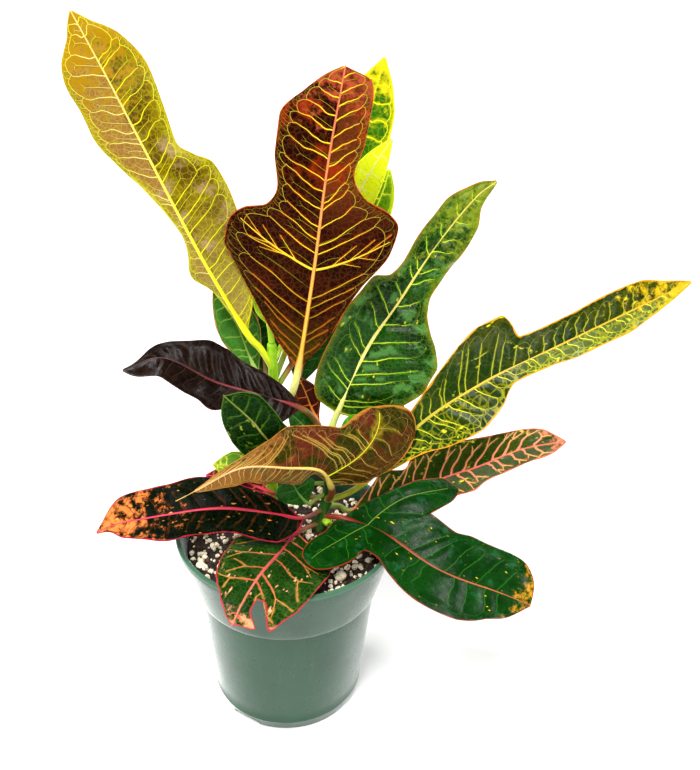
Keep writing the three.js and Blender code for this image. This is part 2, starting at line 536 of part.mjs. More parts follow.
// Soil: lumps by a formula, with raised grains of perlite and bark sprinkled by a seeded draw
function soilGeometry() {
  const draw = drawer(11);
  const grains = [];
  for (let i = 0; i < GRAIN_COUNT; i++) {
    const radius = (RIM_RADIUS - 8) * Math.sqrt(draw());
    const angle = 2 * Math.PI * draw();
    grains.push([radius * Math.cos(angle), radius * Math.sin(angle), GRAIN_HEIGHT * (0.4 + 0.6 * draw())]);
  }
  const height = (x, y) => {
    let z = SOIL_LUMP * Math.sin(x / 6.1 + 0.6) * Math.cos(y / 5.3) + 0.5 * SOIL_LUMP * Math.sin(x / 2.7 - y / 3.1);
    for (const [gx, gy, rise] of grains) {
      const near = 1 - ((x - gx) ** 2 + (y - gy) ** 2) / GRAIN_RADIUS ** 2;
      if (near > 0) z = Math.max(z, rise + near);
    }
    return z;
  };
  const bottom = FLOOR + GAP;
  const ledge = LEDGE_HEIGHT - 1;
  const edge = innerRadius(SOIL_TOP) - 3 * GAP;
  const profile = [[0, bottom], [innerRadius(bottom) - 3 * GAP, bottom], [innerRadius(ledge) - 3 * GAP, ledge],
    [innerRadius(LEDGE_HEIGHT + 1) - 3 * GAP, LEDGE_HEIGHT + 3], [edge, SOIL_TOP]];
  const rings = 11;
  for (let i = 1; i <= rings; i++) profile.push([edge * (1 - i / rings), SOIL_TOP]);
  const body = new THREE.LatheGeometry(profile.map(([r, z]) => new THREE.Vector2(r, z)), ROUND_SIDES);
  body.rotateX(Math.PI / 2);
  const merged = mergeVertices(stripped(body), 1e-4);
  const place = merged.getAttribute("position");
  for (let i = 0; i < place.count; i++) {
    const [x, y, z] = [place.getX(i), place.getY(i), place.getZ(i)];
    const inside = Math.hypot(x, y) < edge - 1;
    if (z > SOIL_TOP - 0.5 && inside) place.setZ(i, SOIL_TOP + height(x, y));
  }
  let solid = toSolid(outward(merged));
  for (const stem of Object.values(STEMS)) solid = solid.subtract(toSolid(stemHole(stem)));
  return toGeometry(solid);
}

// The hole that a stem stands in: the stem's own run through the soil, widened by the gap
function stemHole(stem) {
  const curve = smoothCurve(stem.path);
  const foot = stem.path[0][2];
  const depth = SOIL_TOP + 6 - foot;
  const length = curve.getLength();
  const steps = 6;
  const rings = [];
  for (let i = 0; i <= steps; i++) {
    const share = (i / steps) * (depth / length);
    const forward = curve.getTangentAt(share);
    const up = new THREE.Vector3(0, -1, 0).addScaledVector(forward, forward.y).normalize();
    const right = new THREE.Vector3().crossVectors(forward, up);
    const centre = curve.getPointAt(share);
    if (i === 0) centre.addScaledVector(forward, -GAP);
    const radius = THREE.MathUtils.lerp(stem.radius[0], stem.radius[1], share) + 1.5 * GAP;
    rings.push(roundRing(centre, right, up, radius, 6));
  }
  return skin(rings);
}

function addMesh(group, name, geometry, [colour, roughness]) {
  const material = new THREE.MeshStandardMaterial({ color: colour, roughness, metalness: 0 });
  const mesh = new THREE.Mesh(geometry, material);
  mesh.name = name;
  group.add(mesh);
}

const group = new THREE.Group();
addMesh(group, "pot", potGeometry(), COLOURS.pot);
addMesh(group, "soil", soilGeometry(), COLOURS.soil);
for (const [name, stem] of Object.entries(STEMS)) addMesh(group, name, stemGeometry(stem), COLOURS[name]);
for (const leaf of [...LEAVES, ...OVAL_LEAVES]) addMesh(group, leaf.name, leafGeometry(leaf), COLOURS[leaf.colour]);

export default group;
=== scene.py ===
import math
import random

import bmesh
import bpy
import numpy as np
from mathutils import Matrix, Vector, noise
from mathutils.kdtree import KDTree


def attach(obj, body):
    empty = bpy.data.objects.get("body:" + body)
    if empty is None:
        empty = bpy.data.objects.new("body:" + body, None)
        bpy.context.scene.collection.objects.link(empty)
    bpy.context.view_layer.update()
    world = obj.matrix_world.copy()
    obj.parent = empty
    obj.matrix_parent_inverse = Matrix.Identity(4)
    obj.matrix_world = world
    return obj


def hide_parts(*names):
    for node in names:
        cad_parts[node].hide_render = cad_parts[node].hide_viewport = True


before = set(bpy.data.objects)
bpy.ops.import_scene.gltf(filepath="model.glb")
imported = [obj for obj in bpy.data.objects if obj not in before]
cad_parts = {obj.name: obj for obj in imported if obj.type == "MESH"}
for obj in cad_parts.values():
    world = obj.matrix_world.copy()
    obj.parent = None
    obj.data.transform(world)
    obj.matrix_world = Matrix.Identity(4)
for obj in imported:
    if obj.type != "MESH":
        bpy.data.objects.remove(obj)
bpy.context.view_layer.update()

MM = 0.001

# The photograph's camera
CAMERA_TARGET = Vector((0.0286, 0, 0.1785))
CAMERA_DISTANCE = 0.38
CAMERA_ELEVATION = math.radians(28.2)
CAMERA_ROLL = math.radians(-1.83)
CAMERA_LENS = 39.74
SENSOR_WIDTH = 36

# Light: strength of the white surroundings, and suns by azimuth, elevation, strength and spread in degrees.
# Azimuth 0 is behind the viewer and 90 on the right.
WORLD_STRENGTH = 0.32
SUNS = {
    "sun_top": (-25, 60, 3.6, 20),
    "sun_front": (12, 36, 1.0, 10),
    "sun_left_back": (-115, 36, 2.8, 25),
    "sun_right_back": (115, 38, 2.3, 25),
}
FLOOR_HALF = 30

# Pot. The bead runs round the top of the rim.
POT_HEIGHT = 0.1
RIM_RADIUS = 0.054
RIM_BEAD = 0.0009
BEAD_HEIGHT = 0.003
LEDGE_HEIGHT = 0.069
LEDGE_RADIUS = 0.0462
WALL_TOP_RADIUS = 0.0444
WALL_FROM = 0.012
BASE_RADIUS = 0.038
WALL = 0.0013
FLOOR = 0.0016
NOTCHES = 4
NOTCH_WIDTH = 0.017
NOTCH_HEIGHT = 0.0034
NOTCH_DEPTH = 0.005
NOTCH_TURN = math.radians(-30)
POT_SIDES = 160

# How finely the straight parts of the pot's outline are divided, and where the rim's band begins
WALL_STEPS = 9
BAND_STEPS = 6
BAND_FROM = 0.08

# Worn edges of the pot's outline: steps outwards and upwards from the sharp corner, in millimetres
BASE_EDGE = [(-3, 0), (-1, 0), (-0.3, 0.3), (0, 1), (0.45, 4.6), (0.75, 5.1), (0.75, 5.7), (0.6, 6.3)]
LEDGE_EDGE = [(-1.6, -0.7), (-0.3, -0.2), (0, 0.3)]
LIP_EDGE = [(0, -2.4), (0, -0.5), (-0.2, -0.1), (-0.5, 0), (-2, 0), (-2.2, -0.3), (-2.5, -3)]

# Soil: its top with swells and lumps, on a plug set in from the pot's outside and up from its floor
SOIL_TOP = 0.09
SOIL_RADIUS = 0.0488
SOIL_STEP = 0.0012
SOIL_SIDES = 220
SWELL_WIDTH = 0.011
SWELL_HEIGHT = 0.0009
LUMP_WIDTH = 0.0042
LUMP_HEIGHT = 0.0008
PLUG_INSET = 0.0024
PLUG_LIFT = 0.0004

# Loose grains, mostly small ones, with their corners at nearly even distances, and room at the stems.
# lift: how far a grain's middle stands above the soil, as a share of its size.
MOSTLY_SMALL = 2.2
GRAIN_ROUND = (0.8, 1.1)
STEM_ROOM = 0.6
CRUMBS = dict(count=1800, sizes=(0.0004, 0.0019), squash=(0.35, 0.9), corners=10, lift=0.2, seed=5)
PERLITE = dict(count=1000, sizes=(0.0006, 0.0023), squash=(0.65, 1), corners=22, lift=0.35, seed=3)

# The one big perlite lump
LUMP_PLACE = Vector((0.0268, -0.027, 0.0915))
LUMP_SIZE = 0.0034
LUMP_SQUASH = (0.8, 0.65)
LUMP_CORNERS = 60
LUMP_SEED = 8

# Stems: points of the axis and the radius at the foot and at the top, in millimetres
STEMS = {
    "stem_front": {
        "path": [[13, 11, 48], [15, 11, 90], [19, 12, 108], [20, 14, 128], [20, 16, 144]],
        "radius": [3.4, 2.4],
    },
    "stem_back": {
        "path": [[-10, 25, 48], [-10, 24, 90], [-9, 22, 125], [-7.5, 19, 160], [-8, 18, 190]],
        "radius": [3.6, 2.2],
    },
}
STEM_RINGS = 150
STEM_SIDES = 28
STEM_END = 0.0016
JOINT_SPACING = 0.0072
JOINT_SWELL = 0.07
JOINT_LUMPS = 0.05
JOINT_TURN = 0.009

# The bud on the front stem
BUD_FOOT = np.array([0.018, 0.0115, 0.0955])
BUD_TIP = np.array([0.0205, 0.0046, 0.0975])
BUD_RADIUS = 0.0024
BUD_RINGS = 14
BUD_SIDES = 18

# Blades: how they bend, how thick they are, and how fine their grids are
SPAN_STEPS = 40
BROAD = 0.03
LEAST_BEND = 1e-6
VEIN_BEND = 1.15
BLADE_HALF = 0.00024
EDGE_ROUND = 0.00012
GRID_STEP = 0.0013
FEWEST_COLUMNS = 7
MOST_COLUMNS = 36
EDGE_SAMPLES = 400
LEAF_SHIFT = 0.05

# Relief: the margin's ripple, the bulge between veins and the roll over the whole blade
LEFT_PHASE = 1.3
RIPPLE_FADE = 0.008
BULGE_REACH = 0.0026
ROLL_WAVES = (0.0065, 0.019, 0.0085, 0.015)

# Vein paths: how far out veins start and end, as shares of the way to the margin, the shortest stem
# before a fork, how far side veins sway and tremble, in rows, and how fine the paths are
VEIN_ROOT = 0.01
LEAST_STEM = 0.12
LOBE_REACH = 0.92
ARCH_REACH = 0.93
FINE_REACH = 0.97
SWAY = 0.045
TREMBLE = 0.012
ROW_SAMPLES = 240
PATH_STEP = 5
TREE_STEP = 0.0004

# Ribbons of veins and the midrib. A crest is the height of a vein's ribbon as a share of its half
# width. The midrib's heights on the blade's upper side and on its underside are shares of its half width.
VEIN_STEP = 0.0011
VEIN_SINK = 0.00004
VEIN_CREST = 0.16
VEIN_CREST_UNDER = 0.512
RIB_STEP = 0.0015
RIB_SIDES = 16
RIB_START = 0.012
STALK_FOOT = 0.009
FOOT_SWELL = 0.3
RIB_TAPER = 0.72
RIB_LOW = 0.38
RIB_HIGH = 0.85

# Ranks of veins, from a lobe's own vein to the finest. Arches close the cells between the main ones.
LOBE, MAIN, ARCH, FINE = -1, 0, 1, 2

# What the materials read at each point of a leaf, besides its place
TRAITS = ("vein_gap", "edge_gap", "rib_gap", "share", "side", "reach")

# The base's row and half of the tip's width in the rows of leaves, and the fold of those with no other
BASE_ROW = (0, 0, 1, 0, 1)
TIP_HALF = 0.6
PLAIN_FOLD = (8, 4)

# Plain oval blades: where their rows lie, how full they are, how far their rows lean, and half their tip
OVAL_SHARES = [0, 0.05, 0.16, 0.3, 0.45, 0.6, 0.75, 0.88, 1]
OVAL_FULLNESS = 0.8
OVAL_LEAN = 0.5
OVAL_MIN = 0.6

# Leaves with outlines of their own. stalk: points from the stem's axis to just under the blade. rib: points
# of the midrib. length: of the midrib. under: the seen side is the underside. face: where the seen side
# looks, or where it looks at the base and at the tip. fold: rise of the halves at the base and at the tip,
# in degrees. curl: how much they bend over 30 mm of width there, in degrees. Four values of these give the
# left half's and then the right half's. ripple: height and number of margin waves. lobes: side, row of the
# lobe's own vein, and the first and last row that branch from it. rows: one for each pair of side veins,
# with its root along the rib, then how far along and how far out it ends on the left, and on the right.
# tip_half: half of the tip's width.
LEAVES = [
    dict(
        name="leaf_tall_left", under=True, length=149, stalk=((-7.5, 18.5, 176), (-13, 15, 188)),
        rib=((-19, 13, 197), (-36, 12, 230), (-54, 16, 266), (-73, 24, 302), (-88, 34, 326)),
        face=((0.3, -1, 0.1), (0.3, -1, 0.2)), fold=(-50, -15, 6, 4), curl=(0, 0, -10, 0), ripple=(1.2, 5),
        rows=(
            (6, 10, 2, 13, 11), (16, 22, 5, 23, 16), (28, 32, 10, 37, 20), (39, 42, 6, 51, 23),
            (49, 51, 4, 62, 24), (59, 61, 5, 72, 23), (67, 74, 9, 79, 17), (77, 87, 15, 86, 13),
            (93, 103, 18, 100, 15), (110, 120, 18, 118, 17), (125, 134, 14, 132, 13), (138, 143, 6, 143, 5),
        )),
    dict(
        name="leaf_maroon", under=True, length=132, tip_half=1, stalk=((-8.5, 21, 144), (0, 13, 162)),
        rib=((5, 9, 182), (12, 3, 232), (17, 2, 275), (23, 9, 312)), face=(0, -1, 0.1), fold=(-10, -4),
        curl=(-8, 0), ripple=(0.8, 4), lobes=((-1, 5.6, 4.9, 6.1), (1, 5.6, 4.9, 6.3)),
        rows=(
            (4, 10, 10, 7, 5), (14, 24, 22, 20, 12), (26, 43, 34, 35, 18), (34, 54, 40, 46, 23),
            (44, 64, 39, 60, 31), (54, 71, 33, 71, 33), (62, 75, 23, 78, 27), (72, 83, 19, 83, 17),
            (86, 97, 22, 93, 11), (100, 110, 22, 106, 13), (114, 121, 14, 121, 13), (124, 128, 7, 129, 11),
        )),
    dict(
        name="leaf_right_upper", length=131, stalk=((20, 16, 144),),
        rib=((23, 17, 154), (36, 22, 186), (50, 28, 208), (66, 36, 233), (82, 42, 253), (91, 45, 260)),
        face=((0.1, -1, 0.4), (0.2, -1, 0.3)), fold=(12, 6), curl=(-10, -6), ripple=(0.6, 4),
        rows=(
            (2, 5, 13, 3, 13), (8, 14, 17, 16, 26), (16, 25, 18, 30, 33), (25, 35, 18, 44, 33),
            (35, 46, 19, 53, 27), (45, 56, 18, 58, 20), (55, 65, 17, 64, 14), (63, 70, 11, 73, 11),
            (75, 80, 9, 84, 11), (89, 95, 10, 96, 12), (104, 109, 10, 109, 10), (116, 120, 6, 118, 5),
            (124, 125, 4, 125, 3),
        )),
    dict(
        name="leaf_right_long", length=181, stalk=((18.6, 12, 106), (30, 10, 113)),
        rib=((41, 8, 125), (63, 10, 154), (92, 15, 175), (127, 24, 191), (169, 38, 208), (188, 44, 216)),
        face=((0.1, -0.8, 0.6), (0.1, -0.7, 0.7)), fold=(12, 8, 8, 4), curl=(-8, 0), ripple=(1, 5),
        rows=(
            (8, 14, 3, 12, 6), (18, 23, 5, 24, 10), (31, 37, 8, 42, 17), (45, 54, 14, 58, 19),
            (57, 71, 21, 69, 16), (65, 81, 24, 75, 13), (73, 91, 24, 80, 9), (79, 94, 19, 85, 7),
            (86, 95, 12, 92, 7), (98, 106, 11, 103, 7), (113, 121, 11, 119, 9), (132, 141, 12, 140, 9),
            (150, 158, 11, 155, 7), (165, 170, 6, 169, 4),
        )),
    dict(
        name="leaf_right_pink", length=112, stalk=((18.3, 11.8, 103), (25, 15, 101)),
        rib=((32, 14, 99), (56, 17, 106), (78, 17, 119), (92, 16, 126), (112, 13, 139), (132, 9, 147)),
        face=((0, -0.35, 0.9), (0.1, -0.6, 0.8)), fold=(14, 4), ripple=(0.6, 4),
        rows=(
            (5, 12, 10, 9, 3), (12, 21, 16, 18, 4), (19, 32, 13, 26, 6), (26, 39, 17, 34, 9),
            (35, 48, 17, 43, 11), (43, 55, 16, 51, 12), (53, 65, 15, 62, 12), (63, 79, 12, 71, 9),
            (78, 91, 10, 85, 8), (93, 102, 8, 99, 7), (104, 108, 4, 107, 4),
        )),
    dict(
        name="leaf_front_right", length=99.5, stalk=((16.5, 11, 97),),
        rib=((28, 2, 103), (48, -12, 105), (72, -29, 99), (97, -34, 92), (114, -39, 88)),
        face=(0.2, -0.4, 0.9), fold=(38, 4, 20, 4), curl=(-12, -8), ripple=(0.6, 4),
        lobes=((-1, 4, 0.5, 8.5), (1, 4, 0.5, 8.5)),
        rows=(
            (2, 13, 15, -2, 5), (6, 20, 24, 0, 15), (10, 25, 32, -1, 25), (14, 32, 39, 1, 34),
            (18, 39, 38, 10, 38), (20, 40, 33, 18, 33), (22, 38, 26, 22, 25), (25, 36, 20, 23, 16),
            (32, 46, 20, 30, 16), (42, 56, 20, 41, 19), (54, 67, 21, 54, 22), (66, 80, 21, 66, 21),
            (78, 90, 20, 79, 17), (88, 96, 16, 89, 12), (95, 99, 9, 95, 6),
        )),
    dict(
        name="leaf_front", length=70.5, stalk=((15.2, 11, 93),),
        rib=((5, -3, 97), (-1, -22, 101), (-8, -42, 105), (-14, -58, 103), (-18, -68, 98)),
        face=((0, -0.3, 0.95), (0, -0.5, 0.9)), fold=(-2, 8, 0, 0), curl=(-4, -8, -12, -8), ripple=(0.5, 3),
        rows=(
            (2, 8, 13, 6, 10), (6, 15, 22, 13, 17), (12, 25, 26, 24, 23), (22, 37, 26, 36, 21),
            (34, 52, 24, 46, 19), (42, 62, 20, 50, 18), (46, 68, 16, 53, 17), (48, 57, 9, 54, 16),
            (52, 57, 5, 57, 14), (56, 62, 5, 60, 11), (60, 69, 10, 63, 9), (64, 70, 7, 66, 6),
            (68, 70, 4, 69, 3),
        )),
    dict(
        name="leaf_left_low", length=99, stalk=((17.4, 11.5, 101),),
        rib=((7, -3, 106), (-5, -7, 111), (-30, -9, 115), (-56, -13, 113), (-79, -15, 108), (-88, -18, 105)),
        face=((0, -0.5, 0.9), (-0.1, -0.5, 0.9)), fold=(10, 4), curl=(-10, -8), ripple=(0.6, 4),
        rows=(
            (2, 5, 9, 7, 4), (7, 13, 15, 16, 8), (16, 24, 14, 27, 11), (28, 36, 13, 39, 14),
            (42, 50, 13, 52, 17), (56, 63, 14, 65, 15), (68, 75, 11, 77, 15), (80, 86, 8, 87, 13),
            (90, 93, 3, 95, 4),
        )),
    dict(
        name="leaf_twisted", under=True, length=78, stalk=((18.8, 12, 107), (21, 5, 114)),
        rib=((21, 2, 122), (16, -6, 136), (2, -12, 141), (-19, -18, 144), (-39, -24, 135)),
        face=(0, -0.8, 0.5), fold=(-55, -20, 8, 4), ripple=(0.8, 4), lobes=((1, 3.6, 1.5, 8),),
        rows=(
            (2, 5, 4, -1, 16), (5, 9, 7, 4, 28), (8, 13, 8, 8, 39), (11, 17, 9, 13, 50),
            (14, 20, 10, 16, 38), (17, 23, 10, 18, 22), (22, 28, 10, 25, 20), (32, 37, 10, 35, 19),
            (42, 46, 9, 44, 12), (54, 57, 8, 56, 4), (66, 68, 5, 67, 2),
        )),
    dict(
        name="leaf_purple", length=90, stalk=((20, 15.3, 138), (12, 12, 153)),
        rib=((6, 5, 163), (-10, 6, 168), (-33, 9, 173), (-57, 12, 183), (-76, 16, 174)),
        face=((0, -0.75, 0.65), (0, -0.6, 0.8)), ripple=(1, 3),
        rows=(
            (5, 8, 11, 11, 7), (12, 13, 9, 20, 10), (22, 27, 9, 31, 13), (31, 38, 14, 42, 16),
            (41, 46, 11, 51, 16), (53, 58, 11, 61, 11), (66, 67, 10, 71, 6), (80, 82, 6, 82, 2),
        )),
    dict(
        name="leaf_small_left", length=57.5, stalk=((19.7, 14, 123),),
        rib=((5, 8, 136), (-7, -3, 149), (-15, -9, 164), (-26, -14, 179)), face=(0, -0.9, 0.4),
        rows=(
            (4, 9, 8, 12, 8), (14, 21, 12, 23, 11), (26, 33, 13, 34, 11), (37, 44, 11, 45, 11),
            (48, 52, 7, 52, 8),
        )),
]

# Plain oval leaves. width: half of the blade's greatest width. peak: above 1, the widest part is further up.
OVAL_LEAVES = [
    dict(name="leaf_small_low", width=10, face=(0, -0.9, 0.4), stalk=((19.1, 12.3, 111.5), (13, 8, 109)),
        rib=((10, 4, 110), (5, 2, 118), (1, 3, 127))),
    dict(name="leaf_small_middle", width=6, face=(0, -0.7, 0.7), stalk=((20, 14.4, 130),),
        rib=((13, 19, 135), (7, 23, 142), (-1, 25, 149))),
    dict(name="leaf_small_red", width=6, face=(0.2, -0.9, 0.3), stalk=((20, 15.6, 139), (16, 17, 142)),
        rib=((14, 18, 148), (11, 20, 153), (7, 22, 163), (4, 22, 170))),
    dict(name="leaf_small_bright", width=4.5, face=(0, -0.5, 0.9), stalk=((20, 15, 134), (24, 11, 139)),
        rib=((25, 10, 147), (30, 9, 153), (37, 8, 155))),
    dict(name="leaf_small_behind", width=7, face=(0, -0.6, 0.8), stalk=((20, 14.8, 134),),
        rib=((29, 22, 140), (43, 30, 144), (56, 34, 149))),
    dict(name="leaf_left_green", width=8, face=(0, -0.5, 0.9), stalk=((19.2, 12.5, 116), (3, 12, 117)),
        rib=((-12, 14, 121), (-22, 17, 121), (-38, 17, 122))),
    dict(name="leaf_left_red", width=8, face=(0, -0.4, 0.9), stalk=((18.8, 12.2, 109), (3, 13, 106)),
        rib=((-10, 14, 109), (-18, 16, 111), (-28, 18, 113), (-42, 18, 115))),
    dict(name="leaf_back_left", width=10, face=(0.3, -0.9, 0.3), stalk=((-7.6, 19.4, 155),),
        rib=((-16, 27, 168), (-21, 31, 178), (-27, 35, 192), (-37, 38, 206))),
    dict(name="leaf_back_big", width=17, face=(0.1, -0.9, 0.4), stalk=((-7.8, 20, 150),),
        rib=((-12, 33, 160), (-16, 42, 180), (-20, 50, 203), (-24, 60, 222))),
    dict(name="leaf_back_big_right", width=17, face=(0, -0.9, 0.4), stalk=((-8, 20.5, 146),),
        rib=((2, 35, 158), (8, 45, 180), (13, 55, 205), (17, 66, 222))),
    dict(name="leaf_back_top", width=12, peak=1.6, face=(0, -0.95, 0.3),
        stalk=((-7.7, 18.8, 168), (2, 33, 192)),
        rib=((10, 38, 215), (19, 42, 245), (29, 46, 272), (35, 49, 295), (39, 52, 310))),
    dict(name="leaf_lime", width=8, peak=1.3, face=(0, -0.95, 0.3), stalk=((-7.8, 18.4, 180), (4, 23, 200)),
        rib=((11, 26, 216), (20, 28, 240), (28, 30, 254), (36, 31, 269), (43, 32, 280))),
    dict(name="leaf_back_right", width=8, peak=1.5, face=(0, -0.95, 0.3),
        stalk=((-7.5, 19, 163), (6, 29, 184)),
        rib=((14, 31, 202), (25, 35, 222), (34, 38, 240), (40, 40, 254), (43, 41, 265))),
    dict(name="leaf_young", width=4.5, face=(0.2, -0.9, 0.2), stalk=((-8, 18, 190),),
        rib=((-9, 18, 198), (-11, 18, 207), (-13, 18, 217))),
]

# What a leaf looks like where its own entry in LOOKS doesn't say otherwise. Lengths are in millimetres.
PLAIN_LOOK = dict(
    # Two ground colours in patches, and other grounds on one half or near the base. On some leaves the
    # ground of one half is partly painted sheen.
    slot="leaf_deep_green", ground="#0f4a14", second="#175a14", patch=20, left_ground=None,
    right_ground=None, right_from=-1, base_ground=None, base_from=0.5,
    # Clouds within a span of the length, kept only between veins where the look says so, and the margin's
    # ground. Clouds kept between veins are a painted highlight on the blade's quilted swells.
    cloud=None, cloud_amount=0.75, cloud_size=9, cloud_from=0.5, cloud_span=(-1, 2), cloud_cell=0,
    edge_ground=None, edge_reach=5, edge_amount=0.8,
    # The paler stain along veins, the finest net, flecks, the tip's stain and the thin line of the margin
    halo="#5a7a1c", halo_reach=0.6, halo_amount=0.3, halo_spread=1.6,
    net="#6d8a2c", net_size=2.4, net_amount=0.25, net_edge=5, net_left=1,
    fleck=None, fleck_amount=0.9, tip=None, tip_from=0.8, tip_soft=0.3, margin="#2f6a1c", margin_width=0.35,
    gloss=0.36, glow=0.08, shine=0.09,
    # Colours of the side veins, of the midrib, of the stalk and of the other side
    vein="#3f7a2c", vein_left=None, lobe_vein=None, vein_end="#2f6a20", vein_keep=0.85, fade=0.35,
    left_fade=0, base_fade=0, rib="#7fae4c", rib_tip="#5a8f34", rib_edge=None,
    stalk="#8aa03a", stalk_foot="#7f9a34", back_ground="#4b6a2c", back_second="#56702c", back_vein="#9cab58",
    # The network: spacing, widths, where side veins fork, and their lean at base and tip, left then right
    spacing=6, spacing_tip=None, vein_width=0.55, fine_width=0.26, between=0.5, arch=0.6, taper=0.6,
    fork=(0.7, 0.8), open=False, lean=(0, 0, 0, 0),
    # The lobes' own veins: width, taper, room beside them, bow in rows, and forks by start and lean
    lobe_width=0.8, lobe_taper=0.4, lobe_clear=0, lobe_bow=0, lobe_forks=(),
    # Relief between veins, roll of the blade, and the stalk's and midrib's size
    bulge=0.4, roll=0.35, stalk_radius=1.4, rib_width=1.0,
)

